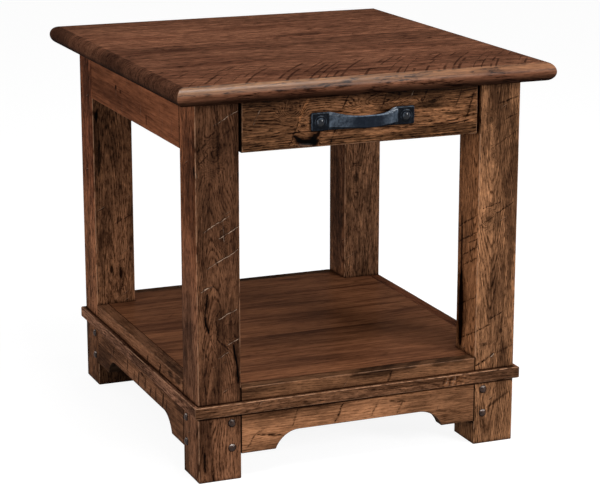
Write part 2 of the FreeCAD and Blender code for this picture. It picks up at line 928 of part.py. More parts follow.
def save_drawer():
    """The drawer front, box and pull."""
    side = box_side()
    save("drawer_front", drawer_front())
    save("drawer_side_left", side)
    save("drawer_side_right", mirrored_x(side))
    save("drawer_box_front", box_end(drawer_back_y, drawer_back_y + box_board))
    save("drawer_box_back", box_end(box_rear_y - box_board, box_rear_y))
    save("drawer_bottom", bottom_panel(0))
    save("drawer_front_screws", *front_screws())
    save("drawer_pull", pull())
    save("drawer_pull_screws", *pull_screws())


os.makedirs("parts", exist_ok=True)
save_frame()
save_upper()
save_slides()
save_drawer()
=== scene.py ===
import json
import math

import bmesh
import bpy
from mathutils import Matrix, Vector, noise


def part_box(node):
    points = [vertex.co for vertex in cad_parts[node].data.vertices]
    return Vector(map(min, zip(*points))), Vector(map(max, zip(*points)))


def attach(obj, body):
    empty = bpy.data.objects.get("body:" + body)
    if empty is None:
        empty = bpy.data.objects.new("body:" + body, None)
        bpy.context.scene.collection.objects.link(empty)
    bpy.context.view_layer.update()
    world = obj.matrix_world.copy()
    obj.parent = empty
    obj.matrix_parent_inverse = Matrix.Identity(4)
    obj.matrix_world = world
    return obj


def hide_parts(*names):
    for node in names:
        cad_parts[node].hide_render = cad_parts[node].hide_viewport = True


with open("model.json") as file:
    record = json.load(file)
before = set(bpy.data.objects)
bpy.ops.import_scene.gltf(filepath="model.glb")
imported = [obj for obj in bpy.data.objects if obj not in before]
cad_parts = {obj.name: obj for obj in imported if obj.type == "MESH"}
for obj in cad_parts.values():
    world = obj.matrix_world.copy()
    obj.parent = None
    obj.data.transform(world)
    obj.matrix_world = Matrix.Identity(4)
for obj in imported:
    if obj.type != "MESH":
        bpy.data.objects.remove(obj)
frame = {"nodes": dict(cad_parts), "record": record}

# Rustic hickory end table with one drawer and a low shelf. Metres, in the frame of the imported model:
# X to the right, Y to the back, Z up, the origin on the floor under the middle of the top.

MM = 0.001
Z_AXIS = Vector((0, 0, 1))
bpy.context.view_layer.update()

# Mesh detail: weld distance, angles that count as flat, sharp and smooth, spacing of the cuts, widths of the
# eased arrises, and the steps and smooth angle of the top's round edge
WELD = 0.005 * MM
FLAT_ANGLE = math.radians(1)
SHARP_ANGLE = math.radians(30)
SMOOTH_ANGLE = math.radians(20)
CUT_PITCH = 11 * MM
FRAME_ARRIS = 0.6 * MM
BOX_ARRIS = 0.2 * MM
ROUND_EDGE_STEPS = 9
ROUND_EDGE_SMOOTH = math.radians(40)

# Turned forms: how small their crowns start, and how often their unevenness repeats per metre
CROWN_START = 0.02
ROUGH_RATE = 240

# Hand-planed surface: how deep the waves and the worn arrises go, how often they and the edges of a pit
# repeat per metre, and how far the waves take to fade out at a panel's outline
WAVE_DEPTH = 0.3 * MM
WEAR_DEPTH = 0.8 * MM
WAVE_RATE = 14
WEAR_RATE = 38
PIT_RATE = 130
WAVE_FADE = 25 * MM

# Camera: its place, its turn to the right and its tilt down, and the focal length for a 36 mm sensor
CAMERA_PLACE = Vector((-1.1284, -2.7855, 1.0276))
CAMERA_TURN = math.radians(22.36)
CAMERA_TILT = math.radians(14.56)
CAMERA_LENS = 122.9
CAMERA_SENSOR = 36

# Lights: place, point aimed at, size and power
LIGHTS = {
    "key": ((1.4, -2.5, 1.25), (0, 0, 0.3), (0.8, 0.8), 58),
    "overhead": ((0.1, -0.85, 2.15), (0, -0.2, 0.5), (0.9, 0.5), 28),
    "fill": ((-2.5, -1.0, 0.9), (0, 0, 0.3), (1.2, 1.2), 32),
    "side": ((2.3, -0.2, 0.9), (0, 0, 0.4), (0.2, 0.6), 8),
}

# Light level of the surroundings on the object, and how bright the floor looks by itself
AMBIENT = 0.4
FLOOR_GLOW = 0.9
FLOOR_COLOUR = (0.2, 0.2, 0.2)
FLOOR_SIZE = 30


# Shader nodes

def rgba(tone):
    """A tone as a shader takes it: a result stays, and numbers become an opaque grey or colour."""
    if isinstance(tone, Result):
        return tone
    if isinstance(tone, (int, float)):
        return (tone, tone, tone, 1)
    return (*tone, 1)


class Result:
    """What a shader node gives. Arithmetic on it adds math nodes to the same tree."""

    def __init__(self, web, socket):
        self.web = web
        self.socket = socket

    def __add__(self, other):
        return self.web.math("ADD", self, other)

    def __sub__(self, other):
        return self.web.math("SUBTRACT", self, other)

    def __rsub__(self, other):
        return self.web.math("SUBTRACT", other, self)

    def __mul__(self, other):
        return self.web.math("MULTIPLY", self, other)

    def __truediv__(self, other):
        return self.web.math("DIVIDE", self, other)

    def __abs__(self):
        return self.web.math("ABSOLUTE", self)


class Web:
    """Adds shader nodes to one tree. Calls take numbers or results and give results."""

    def __init__(self, tree):
        self.tree = tree

    def feed(self, made, inputs):
        """Links results to a node's inputs, and sets uniform values on them."""
        for name, value in inputs.items():
            if isinstance(value, Result):
                self.tree.links.new(value.socket, made.inputs[name])
            else:
                made.inputs[name].default_value = value

    def node(self, kind, inputs, output=0, **settings):
        made = self.tree.nodes.new("ShaderNode" + kind)
        for name, value in settings.items():
            setattr(made, name, value)
        self.feed(made, inputs)
        return Result(self, made.outputs[output])

    def end(self, kind, surface):
        """Ends the tree with an output node."""
        self.feed(self.tree.nodes.new("ShaderNode" + kind), {"Surface": surface})

    def group(self, tree, **inputs):
        """Adds a node group and returns its results by name."""
        made = self.tree.nodes.new("ShaderNodeGroup")
        made.node_tree = tree
        self.feed(made, inputs)
        return {socket.name: Result(self, socket) for socket in made.outputs}

    def coordinates(self):
        """The place of a point in the table's frame and the direction that its surface faces."""
        made = self.tree.nodes.new("ShaderNodeTexCoord")
        return Result(self, made.outputs["Object"]), Result(self, made.outputs["Normal"])

    def math(self, operation, first, second=0.0):
        return self.node("Math", {0: first, 1: second}, operation=operation)

    def largest(self, values):
        result = values[0]
        for value in values[1:]:
            result = self.math("MAXIMUM", result, value)
        return result

    def length(self, first, second):
        return self.math("SQRT", first * first + second * second)

    def step(self, value, low, high, out_low=0.0, out_high=1.0):
        """A smooth step from out_low at low to out_high at high."""
        inputs = {"Value": value, "From Min": low, "From Max": high, "To Min": out_low, "To Max": out_high}
        return self.node("MapRange", inputs, interpolation_type="SMOOTHSTEP")

    def noise(self, place, rates=None, detail=2.0, roughness=0.5):
        """Smooth noise from 0 to 1. Rates are its waves to a metre along each axis."""
        if rates is not None:
            place = self.vector("MULTIPLY", place, rates)
        inputs = {"Vector": place, "Scale": 1.0, "Detail": detail, "Roughness": roughness}
        return self.node("TexNoise", inputs)

    def chance(self, number):
        """A value from 0 to 1 that jumps from one whole number to the next."""
        return self.node("TexWhiteNoise", {"W": number}, noise_dimensions="1D")

    def vector(self, operation, first, second):
        return self.node("VectorMath", {0: first, 1: second}, operation=operation)

    def dot(self, first, second):
        return self.node("VectorMath", {0: first, 1: second}, output=1, operation="DOT_PRODUCT")

    def join(self, x, y, z=0.0):
        return self.node("CombineXYZ", {0: x, 1: y, 2: z})

    def split(self, place):
        parts = self.tree.nodes.new("ShaderNodeSeparateXYZ")
        self.feed(parts, {0: place})
        return [Result(self, socket) for socket in parts.outputs]

    def mix(self, factor, first, second, blend="MIX"):
        """Mixes tones. Sockets 6 and 7 of the node are its two colours, and output 2 is the result."""
        inputs = {0: factor, 6: rgba(first), 7: rgba(second)}
        return self.node("Mix", inputs, output=2, data_type="RGBA", blend_type=blend)

    def shade(self, colour, factor, tone):
        """Multiplies a colour by a tone, as far as the factor says."""
        return self.mix(factor, colour, tone, "MULTIPLY")

    def corners(self, reach, samples=6):
        """1 in the open, falling to 0 where surfaces within reach close a point in."""
        return self.node("AmbientOcclusion", {"Distance": reach}, output="AO", samples=samples)

    def bump(self, height, strength, distance):
        return self.node("Bump", {"Height": height, "Strength": strength, "Distance": distance})


def new_group(name, inputs, outputs):
    """An empty node group with its sockets. Returns a web in it and its input values."""
    group = bpy.data.node_groups.new(name, "ShaderNodeTree")
    for label, kind in inputs.items():
        group.interface.new_socket(label, in_out="INPUT", socket_type="NodeSocket" + kind)
    for label, kind in outputs.items():
        group.interface.new_socket(label, in_out="OUTPUT", socket_type="NodeSocket" + kind)
    web = Web(group)
    given = group.nodes.new("NodeGroupInput")
    return web, {socket.name: Result(web, socket) for socket in given.outputs if socket.name}


def close_group(web, results):
    web.feed(web.tree.nodes.new("NodeGroupOutput"), results)
    return web.tree


def emptied(owner):
    """A web in the emptied tree of a material or a world."""
    owner.use_nodes = True
    owner.node_tree.nodes.clear()
    return Web(owner.node_tree)


def new_material(name):
    """A material, a web in its tree and its shader node."""
    material = bpy.data.materials.new(name)
    web = emptied(material)
    shader = web.tree.nodes.new("ShaderNodeBsdfPrincipled")
    web.end("OutputMaterial", Result(web, shader.outputs[0]))
    return material, web, shader


def connect(web, shader, **sockets):
    """Links results or sets uniform numbers on the shader's own sockets."""
    web.feed(shader, {label.replace("_", " "): value for label, value in sockets.items()})


# Wood

GRAIN_ORDERS = {"X": (0, 1, 2), "Y": (1, 0, 2), "Z": (2, 0, 1)}

# Tones that multiply the wood's own
PORE_SHADE = (0.15, 0.12, 0.10)
EARLY_SHADE = (0.26, 0.21, 0.17)
CLOUD_SHADE = (0.34, 0.29, 0.27)
FIBRE_SHADE = (0.5, 0.45, 0.42)
HOLLOW_SHADE = (0.42, 0.38, 0.36)
FLECK_SHADE = (0.4, 0.37, 0.35)
SHADOW_TONE = (0.16, 0.12, 0.1)
# Painted shade: in corners, and along the shadow lines under the band and under the top
PAINTED_SHADE_TONE = (0.14, 0.10, 0.08)
PIT_TONE = (0.05, 0.04, 0.035)
CREST_GAIN = 1.6
FLECK_GAIN = (1.6, 1.6, 1.55)
# Paler top edge: worn wood with a painted highlight
EDGE_GAIN = (1.35, 1.5, 1.15)
STROKE_GAIN = (1.9, 1.8, 1.6)
UNDERSIDE_SHADE = 0.3

# Tones that cover the wood's own
# Pale arrises: worn wood with painted glints
WEAR_AND_GLINT_TONE = (0.40, 0.22, 0.13)
SCRATCH_TONE = (0.40, 0.27, 0.19)

# Dark scratches narrower than this many millimetres are broken up, as the grain catches the glaze
DOTTED_WIDTH = 2.5


def wood_figure_group():
    """The figure of a ring-porous wood, with the grain along the first axis of Place."""
    inputs = {"Place": "Vector", "Pith": "Vector", "Dark": "Color", "Light": "Color"}
    numbers = "Seed Lean Ring Sway Warp Lines Pores Mottle Chatter Short Flecks"
    inputs.update(dict.fromkeys(numbers.split(), "Float"))
    web, given = new_group("wood_figure", inputs, {"Color": "Color", "Height": "Float"})
    seed = given["Seed"]
    place = web.vector("ADD", given["Place"], web.join(seed * 7.31, seed * 3.17, seed))
    early = early_wood(web, given, place)

    # Everything finer is shortened along the grain, and pores are denser in the early wood
    place = web.vector("MULTIPLY", place, web.join(given["Short"], 1.0, 1.0))
    pore_noise = web.noise(place, (70, 620, 620), 2.0, 0.6)
    pores = web.step(pore_noise, 0.52, 0.64) * web.step(early, -0.45, 0.8)
    dash_noise = web.noise(place, (36, 240, 240), 3.0, 0.65)
    dashes = web.step(dash_noise, 0.53, 0.63) * web.step(early, -0.5, 0.9)
    fibre = web.noise(place, (16, 480, 480), 4.0, 0.72)
    streak = web.noise(place, (6, 110, 110), 3.0, 0.6)
    broad = web.noise(place, (3.4, 24, 24), 3.0, 0.55)

    tone = broad * 0.5 + (streak * 0.3 + fibre * 0.2)
    colour = web.mix(web.step(tone, 0.38, 0.6), given["Dark"], given["Light"])
    lines = early * web.step(pore_noise, 0.3, 0.6, 0.35, 1.0) * given["Lines"]
    colour = web.shade(colour, lines, EARLY_SHADE)
    colour = clouded(web, given, place, fibre, colour)
    marks = web.largest([pores, dashes * 0.9]) * given["Pores"]
    colour = web.shade(colour, marks, PORE_SHADE)
    height = fibre * 0.5 - (marks + lines * 0.35)
    return close_group(web, {"Color": colour, "Height": height})


def early_wood(web, given, place):
    """How far a point lies in early wood, in growth rings round a pith that leans along the board."""
    along, across, through = web.split(web.vector("SUBTRACT", given["Place"], given["Pith"]))
    sway = web.noise(place, (3.2, 13, 13)) - 0.5
    ripple = web.noise(place, (22, 80, 80)) - 0.5
    radius = web.length(across, through) + sway * given["Sway"] + ripple * 0.0032
    ring = (radius + (along * given["Lean"] + given["Warp"])) / given["Ring"]
    phase = web.math("FRACT", ring)
    early = web.step(phase, 0.5, 0.05) + web.step(phase, 0.8, 1.0)
    return early * web.step(web.chance(web.math("FLOOR", ring)), -0.3, 0.8)


def clouded(web, given, place, fibre, colour):
    """Adds dark clouds, fibres, the cross ripples of curly grain, and light and dark flecks."""
    blotch = web.noise(place, (22, 60, 60), 4.0, 0.7)
    colour = web.shade(colour, web.step(blotch, 0.47, 0.68) * given["Mottle"], CLOUD_SHADE)
    colour = web.shade(colour, web.step(fibre, 0.66, 0.34, 0.0, 0.55), FIBRE_SHADE)
    ripples = web.noise(place, (42, 105, 105), 2.0, 0.55)
    colour = web.shade(colour, web.step(ripples, 0.58, 0.4) * given["Chatter"], HOLLOW_SHADE)
    crest = web.step(ripples, 0.54, 0.68) * given["Chatter"]
    colour = web.shade(colour, crest * 0.5, CREST_GAIN)
    fleck = web.noise(place, (44, 300, 300), 2.0, 0.6)
    colour = web.shade(colour, web.step(fleck, 0.55, 0.66) * given["Flecks"], FLECK_GAIN)
    return web.shade(colour, web.step(fleck, 0.45, 0.35) * given["Flecks"], FLECK_SHADE)


def saw_marks_group():
    """Broken arcs left by a circular saw, evenly fed along the grain. Place is (along, across, seed)."""
    inputs = dict.fromkeys(("Slope", "Spacing", "Width", "Spread", "Rate", "Wander"), "Float")
    inputs["Place"] = "Vector"
    web, given = new_group("saw_marks", inputs, {"Cut": "Float", "Lip": "Float"})
    along, across, seed = web.split(given["Place"])
    wander = web.noise(given["Place"], (16, 16, 1)) - 0.5
    arc = across * given["Slope"] + across * across * 1.4
    count = (along - arc + wander * given["Wander"]) / given["Spacing"]
    cell = web.math("FLOOR", count) + seed * 11.7
    shift = (web.chance(cell) - 0.5) * 0.7
    away = (web.math("FRACT", count) + shift - 0.5) * given["Spacing"]
    width = given["Width"] * (web.chance(cell + 0.31) + 0.3)
    broken = web.noise(web.join(across * given["Rate"], cell * 5.7, seed), detail=3.0, roughness=0.65)
    shown = web.step(broken, 0.58 - given["Spread"], 0.66 - given["Spread"])
    cut = web.step(abs(away), width, width * 0.35) * shown
    lip = web.step(abs(away - width * 1.6), width, width * 0.35) * shown
    return close_group(web, {"Cut": cut, "Lip": lip})


def line_mark_group():
    """One scratch or crack between two points of a face, thinner at its ends."""
    inputs = {"Place": "Vector", "Start": "Vector", "End": "Vector", "Width": "Float"}
    web, given = new_group("line_mark", inputs, {"Core": "Float", "Rim": "Float"})
    run = web.vector("SUBTRACT", given["End"], given["Start"])
    away = web.vector("SUBTRACT", given["Place"], given["Start"])
    share = web.dot(away, run) / web.dot(run, run)
    share = web.math("MINIMUM", web.math("MAXIMUM", share, 0.0), 1.0)
    reach = web.vector("SUBTRACT", away, web.vector("MULTIPLY", run, web.join(share, share, share)))
    distance = web.math("SQRT", web.dot(reach, reach))
    bulge = share * (1.0 - share) * 4.0
    width = given["Width"] * (bulge * 0.6 + 0.4)
    core = web.step(distance, width * 0.6, width * 0.3)
    rim = web.step(distance, width * 1.5, width * 0.5)
    return close_group(web, {"Core": core, "Rim": rim})


wood_figure = wood_figure_group()
saw_marks = saw_marks_group()
line_mark = line_mark_group()


class WoodStyle:
    """How one wood material looks. A piece names only what it changes."""

    # Growth rings: where their pith lies across the board, how it leans, ring width in mm, how they wander
    pith = (0.02, -0.07)
    lean = 0.1
    ring = 2.8
    sway = 0.02

    # Strength of early-wood lines, pores, dark clouds, cross ripples and flecks, and shortness of the grain
    lines = 0.6
    pores = 0.85
    mottle = 0.6
    chatter = 0.0
    flecks = 0.0
    short = 1.0

    # Marks on the face whose directions are (X, Y) on a flat board, else (X - Y, Z), from an origin
    flat = False
    origin = (0, 0)
    knots = ()
    scratches = ()
    patches = ()

    # Saw marks: slope, spacing and width in mm, and spread; their breaks, wander, darkness and pale lip
    saw = None
    saw_rate = 34
    saw_wander = 0.02
    cut_depth = 0.85
    lip = 0.2

    # Painted light and shade on a leg's sides, high up and low down; painted shade on undersides and ends;
    # top tones
    side_gains = None
    under_tone = None
    top_tone = None

    # Pale arrises, worn wood with painted glints, which stay dark at the heights in joined, where rails meet
    # a leg
    worn = 0.55
    joined = ()

    # Painted shade in corners and its reach in mm, painted shadow lines at heights, dark joints at the legs
    glaze = 0.9
    reach = 8
    glaze_lines = ()
    seam = None

    # Finish: roughness, gloss and its spread, extra gloss of the top's round edge, tone of its ends
    finish = 0.5
    coat = 0.04
    gloss_spread = 0.28
    edge_coat = None
    end_tone = None

    def __init__(self, **changes):
        for name, value in changes.items():
            setattr(self, name, value)


class Surface:
    """The place, the direction and the face coordinates of a wooden piece's surface, as results."""

    def __init__(self, web, node, grain, flat):
        self.web = web
        self.grain = grain
        self.flat = flat
        self.order = GRAIN_ORDERS[grain]
        self.centre = sum(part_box(node), Vector()) / 2
        self.place, facing = web.coordinates()
        self.axes = web.split(self.place)
        self.normal = web.split(facing)
        self.u = self.axes[0] if flat else self.axes[0] - self.axes[1]
        self.v = self.axes[1] if flat else self.axes[2]
        self.face = web.join(self.u, self.v)


def away_from(surface, origin, spot, ragged):
    """How far a point of the face lies from a spot with a place and half sizes: 1 is the spot's edge."""
    centre_u, centre_v, half_u, half_v = spot
    a = (surface.u - (origin[0] + centre_u * MM)) * (1 / (half_u * MM))
    b = (surface.v - (origin[1] + centre_v * MM)) * (1 / (half_v * MM))
    return surface.web.length(a, b) + ragged


def knot_effects(surface, style):
    """How knots bend the rings, and how dark their hearts are. Each knot is a spot and its darkness."""
    web = surface.web
    ragged = web.noise(surface.face, (110, 110, 1), 3.0) - 0.5
    warps = []
    hearts = []
    for *spot, darkness in style.knots:
        away = away_from(surface, style.origin, spot, ragged * 0.9)
        warps.append(web.step(away, 3.0, 0.2, 0.0, 0.02))
        hearts.append(web.step(away, 1.2, 0.6, 0.0, darkness))
    warp = warps[0]
    for more in warps[1:]:
        warp = warp + more
    return warp, web.largest(hearts)


def patched(surface, style, colour):
    """Lightens or darkens soft patches. Each is a spot and a factor."""
    web = surface.web
    ragged = web.noise(surface.face, (40, 40, 1), 3.0) - 0.5
    for *spot, factor in style.patches:
        away = away_from(surface, style.origin, spot, ragged * 0.8)
        colour = web.shade(colour, web.step(away, 1.4, 0.5), factor)
    return colour


def side_toned(surface, style, colour):
    """Paints light and shade on a leg's left and right sides: one gain high up, another low down, less near
    the floor.
    """
    web = surface.web
    upper, lower = style.side_gains
    height = surface.axes[2]
    gain = web.mix(web.step(height, 0.4, 0.2), upper, lower)
    sideways = web.step(abs(surface.normal[0]), 0.6, 0.8) * web.step(height, 0.04, 0.16, 0.25, 1.0)
    # Painted light and shade on the left and right sides
    return web.shade(colour, sideways, gain)


def sawn(surface, style, seed, colour, height):
    """Adds saw marks, each a dark cut with a pale lip."""
    web = surface.web
    slope, spacing, width, spread = style.saw
    centre = surface.centre
    if surface.flat:
        along, across = surface.u, surface.v - centre.y
    elif surface.grain == "Z":
        along, across = surface.v, surface.u - (centre.x - centre.y)
    else:
        along, across = surface.u, surface.v - centre.z
    marks = web.group(
        saw_marks, Place=web.join(along, across, seed), Slope=slope, Spacing=spacing * MM, Width=width * MM,
        Spread=spread, Rate=style.saw_rate, Wander=style.saw_wander,
    )
    level = web.step(abs(surface.normal[2]), 0.9, 0.98) if surface.flat else 1.0
    cut = marks["Cut"] * level
    colour = web.shade(colour, cut * style.cut_depth, SHADOW_TONE)
    colour = web.mix(marks["Lip"] * level * style.lip, colour, SCRATCH_TONE)
    return colour, height - cut * 2.0


def scratched(surface, style, colour, height):
    """Adds single scratches, light ones with a dark rim, and cracks. Each has two ends in millimetres from
    the origin of the face, a width and a tone from -1, dark, to 1, light. Above 1 it is a soft light
    stroke."""
    web = surface.web
    face = surface.face
    origin_u, origin_v = style.origin
    wobble = web.noise(face, (90, 90, 1), 3.0, 0.6) - 0.5
    wobbled = web.vector("ADD", face, web.join(wobble * 0.005, wobble * -0.004))
    broken = web.step(web.noise(face, (140, 140, 1), 3.0, 0.7), 0.42, 0.58, 0.15, 1.0)
    rates = (330, 110, 1) if surface.grain == "Z" else (110, 330, 1)
    dotted = web.step(web.noise(face, rates, 2.0, 0.6), 0.4, 0.56, 0.25, 1.0)
    for start_u, start_v, end_u, end_v, width, tone in style.scratches:
        line = web.group(
            line_mark, Place=wobbled, Width=width * MM,
            Start=(origin_u + start_u * MM, origin_v + start_v * MM, 0),
            End=(origin_u + end_u * MM, origin_v + end_v * MM, 0),
        )
        rim, core = line["Rim"], line["Core"]
        if tone > 1:
            colour = web.shade(colour, rim * (tone - 1), STROKE_GAIN)
            continue
        if tone < 0 and width < DOTTED_WIDTH:
            rim, core = rim * dotted, core * dotted
        colour = web.shade(colour, rim * (0.7 * abs(tone)), SHADOW_TONE)
        height = height - rim * 2.0
        if tone > 0:
            colour = web.mix(core * broken * tone, colour, SCRATCH_TONE)
        else:
            colour = web.shade(colour, core * -tone, PIT_TONE)
    return colour, height


def closed_by_rails(surface, joined):
    """1 on the inner half of a leg's edges at the heights where rails or aprons meet it."""
    web = surface.web
    x, y, z = surface.axes
    half_x, half_y = abs(surface.centre.x), abs(surface.centre.y)
    inner = web.largest([web.step(abs(x), half_x, half_x - MM), web.step(abs(y), half_y, half_y - MM)])
    levels = [web.step(z, low - MM, low) * web.step(z, high + MM, high) for low, high in joined]
    return inner * web.largest(levels)


def rubbed(surface, style, colour):
    """Shows pale arrises, partly worn wood and partly painted glints, and dark joint lines where rails close
    them in.
    """
    web = surface.web
    flatness = web.largest([abs(part) for part in surface.normal])
    edge = web.step(flatness, 0.97, 0.85)
    arris = edge * web.step(web.noise(surface.place, (70, 70, 70), 3.0), 0.34, 0.56)
    if style.joined:
        closed = closed_by_rails(surface, style.joined)
        colour = web.shade(colour, edge * closed * 0.8, PIT_TONE)
        arris = arris * (1.0 - closed)
    # Pale arrises stand for worn wood and painted glints
    return web.mix(arris * style.worn, colour, WEAR_AND_GLINT_TONE)


def glazed(surface, style, colour):
    """Dark seams, painted shadow lines at heights, painted shade in corners, undersides and ends, darker
    tops.
    """
    web = surface.web
    height = surface.axes[2]
    along = surface.order[0]
    half = 0.5 * MM
    if style.seam is not None:
        from_middle = abs(surface.axes[along])
        ends = web.step(from_middle, style.seam - 1.2 * MM, style.seam - 0.4 * MM, 0.0, 0.85)
        colour = web.shade(colour, ends, PIT_TONE)
    # Painted shadow lines at the given heights
    for low, high in style.glaze_lines:
        line = web.step(height, low - half, low + half) * web.step(height, high + half, high - half)
        colour = web.shade(colour, line * 0.85, PAINTED_SHADE_TONE)
    # Painted shade on undersides, and on ends along the grain
    if style.under_tone is not None:
        hidden = web.largest([surface.normal[2] * -1.0, abs(surface.normal[along])])
        colour = web.shade(colour, web.step(hidden, 0.25, 0.5), style.under_tone)
    if style.top_tone is not None:
        colour = web.shade(colour, web.step(surface.normal[2], 0.8, 0.97), style.top_tone)
    # Painted shade in corners, from an occlusion test
    if style.glaze:
        corner = web.corners(style.reach * MM)
        colour = web.shade(colour, web.step(corner, 0.9, 0.5, 0.0, style.glaze), PAINTED_SHADE_TONE)
    return colour


def edge_polished(surface, style, colour):
    """The top's round edge: paler in front and behind, as worn wood and as a painted highlight, and
    glossier, most at the left; darker at its ends, with painted shade underneath."""
    web = surface.web
    sideways, frontways, upward = surface.normal
    x = surface.axes[0]
    front = web.step(abs(frontways), 0.12, 0.35) * web.step(upward, 0.0, 0.62)
    # A painted highlight with worn wood, paler in front and behind, fading to the right
    colour = web.shade(colour, front * web.step(x, -0.05, 0.27, 1.0, 0.4), EDGE_GAIN)
    colour = web.shade(colour, web.step(abs(sideways), 0.04, 0.14), style.end_tone)
    # Painted shade underneath
    colour = web.shade(colour, web.step(upward, 0.0, -0.7), UNDERSIDE_SHADE)
    gloss = web.step(x, -0.1, 0.3, style.edge_coat, 0.3 * style.edge_coat)
    return colour, front * gloss + style.coat


def wood(name, grain, seed, dark, light, **changes):
    """A wood material, named like its node, with the grain along one axis of the table."""
    style = WoodStyle(**changes)
    material, web, shader = new_material(name)
    surface = Surface(web, name, grain, style.flat)
    warp, heart = knot_effects(surface, style) if style.knots else (0.0, None)
    flecks = style.flecks
    if style.edge_coat is not None:
        flecks = web.step(surface.normal[2], 0.75, 0.99, 0.35, 1.0) * flecks
    figure = web.group(
        wood_figure, Place=web.join(*[surface.axes[axis] for axis in surface.order]), Seed=seed,
        Pith=(0, *style.pith), Lean=style.lean, Ring=style.ring * MM, Sway=style.sway, Warp=warp,
        Dark=rgba(dark), Light=rgba(light), Lines=style.lines, Pores=style.pores, Mottle=style.mottle,
        Chatter=style.chatter, Short=style.short, Flecks=flecks,
    )
    colour = figure["Color"]
    height = figure["Height"]
    if style.patches:
        colour = patched(surface, style, colour)
    if style.side_gains is not None:
        colour = side_toned(surface, style, colour)
    if heart is not None:
        colour = web.shade(colour, heart, PIT_TONE)
        height = height - heart * 1.5
    if style.saw is not None:
        colour, height = sawn(surface, style, seed, colour, height)
    if style.scratches:
        colour, height = scratched(surface, style, colour, height)
    if style.worn:
        colour = rubbed(surface, style, colour)
    colour = glazed(surface, style, colour)
    sheen = style.coat
    if style.edge_coat is not None:
        colour, sheen = edge_polished(surface, style, colour)
    roughness = web.step(height, -1.2, 0.3, min(style.finish + 0.3, 1.0), style.finish)
    bump = web.bump(height, 0.55, 0.45 * MM)
    connect(web, shader, Base_Color=colour, Roughness=roughness, Normal=bump)
    connect(web, shader, Specular_IOR_Level=0.0, Coat_Weight=sheen, Coat_Roughness=style.gloss_spread)
    return material


# Meshes

def placed(name, data):
    """A new object in the scene."""
    made = bpy.data.objects.new(name, data)
    bpy.context.scene.collection.objects.link(made)
    return made


def finished(shape, name, material, node, smooth=SMOOTH_ANGLE):
    """Turns a bmesh into a piece that stands for a CAD node and rides on its body."""
    mesh = bpy.data.meshes.new(name)
    shape.to_mesh(mesh)
    shape.free()
    mesh.shade_smooth()
    mesh.set_sharp_from_angle(angle=smooth)
    mesh.materials.append(material)
    piece = placed(name, mesh)
    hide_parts(node)
    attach(piece, body_of(node))


def body_of(node):
    bodies = frame["record"]["behaviour"]["bodies"]
    return next(body for body, nodes in bodies.items() if node in nodes)


def welded_copy(node):
    """The CAD node as a bmesh with joined corners."""
    shape = bmesh.new()
    shape.from_mesh(frame["nodes"][node].data)
    bmesh.ops.remove_doubles(shape, verts=shape.verts[:], dist=WELD)
    return shape


def clean_copy(node):
    """The CAD node as a bmesh with no needless edges."""
    shape = welded_copy(node)
    bmesh.ops.dissolve_limit(shape, angle_limit=FLAT_ANGLE, verts=shape.verts[:], edges=shape.edges[:])
    return shape


def ease_arrises(shape, width):
    sharp = [edge for edge in shape.edges if edge.is_manifold and edge.calc_face_angle() > SHARP_ANGLE]
    bmesh.ops.bevel(shape, geom=sharp, offset=width, offset_type="OFFSET", segments=1, profile=0.5,
                    affect="EDGES", clamp_overlap=False)


def cut_into_patches(shape, pitch):
    """Cuts every face along evenly spaced planes, so that it can take waves and wear."""
    for axis in range(3):
        places = [vertex.co[axis] for vertex in shape.verts]
        low, high = min(places), max(places)
        count = int((high - low) / pitch)
        direction = Matrix.Identity(3)[axis]
        for index in range(1, count):
            level = direction * (low + (high - low) * index / count)
            parts = shape.verts[:] + shape.edges[:] + shape.faces[:]
            bmesh.ops.bisect_plane(shape, geom=parts, dist=WELD, plane_co=level, plane_no=direction)
    bmesh.ops.triangulate(shape, faces=[face for face in shape.faces if len(face.verts) > 4])


def plane_by_hand(shape, pits):
    """Sinks the surface in shallow waves, more where arrises have worn. A pit has a centre, half sizes
    and a depth."""
    shape.normal_update()
    moves = []
    for vertex in shape.verts:
        place = vertex.co
        lean = 1 - max(abs(part) for part in vertex.normal)
        wave = WAVE_DEPTH * (0.5 + 0.5 * noise.noise(place * WAVE_RATE))
        wear = WEAR_DEPTH * lean * max(0.0, 0.3 + noise.noise(place * WEAR_RATE))
        pit = 0
        for centre, half_sizes, depth in pits:
            away = Vector([(place[k] - centre[k]) / half_sizes[k] for k in range(3)]).length
            away += 0.55 * noise.noise(place * PIT_RATE)
            pit = max(pit, depth * min(1.0, max(0.0, (1.1 - away) / 0.45)))
        moves.append(-vertex.normal * (wave + wear + pit))
    for vertex, move in zip(shape.verts, moves):
        vertex.co += move


def plane_board(shape, outline):
    """Sinks both faces of a board alike at its seams, and less towards the outline of its panel."""
    low, high = outline
    middle = (low.z + high.z) / 2
    for vertex in shape.verts:
        place = vertex.co
        inside = min(place.x - low.x, high.x - place.x, place.y - low.y, high.y - place.y)
        share = min(1.0, max(0.0, inside / WAVE_FADE))
        wave = 0.5 + 0.5 * noise.noise(Vector((place.x, place.y, middle)) * WAVE_RATE)
        vertex.co.z += math.copysign(WAVE_DEPTH * wave * share, middle - place.z)


def worn_piece(node, material, arris=FRAME_ARRIS, pitch=CUT_PITCH, pits=()):
    """A board or post worked out from its CAD node, with eased, worn arrises and planed faces."""
    shape = clean_copy(node)
    ease_arrises(shape, arris)
    cut_into_patches(shape, pitch)
    plane_by_hand(shape, pits)
    finished(shape, node + "_worn", material, node)


def panel_board(node, material, outline):
    """One board of a glued panel, planed with its neighbours so that the seams stay closed."""
    shape = clean_copy(node)
    cut_into_patches(shape, CUT_PITCH)
    plane_board(shape, outline)
    finished(shape, node + "_planed", material, node)


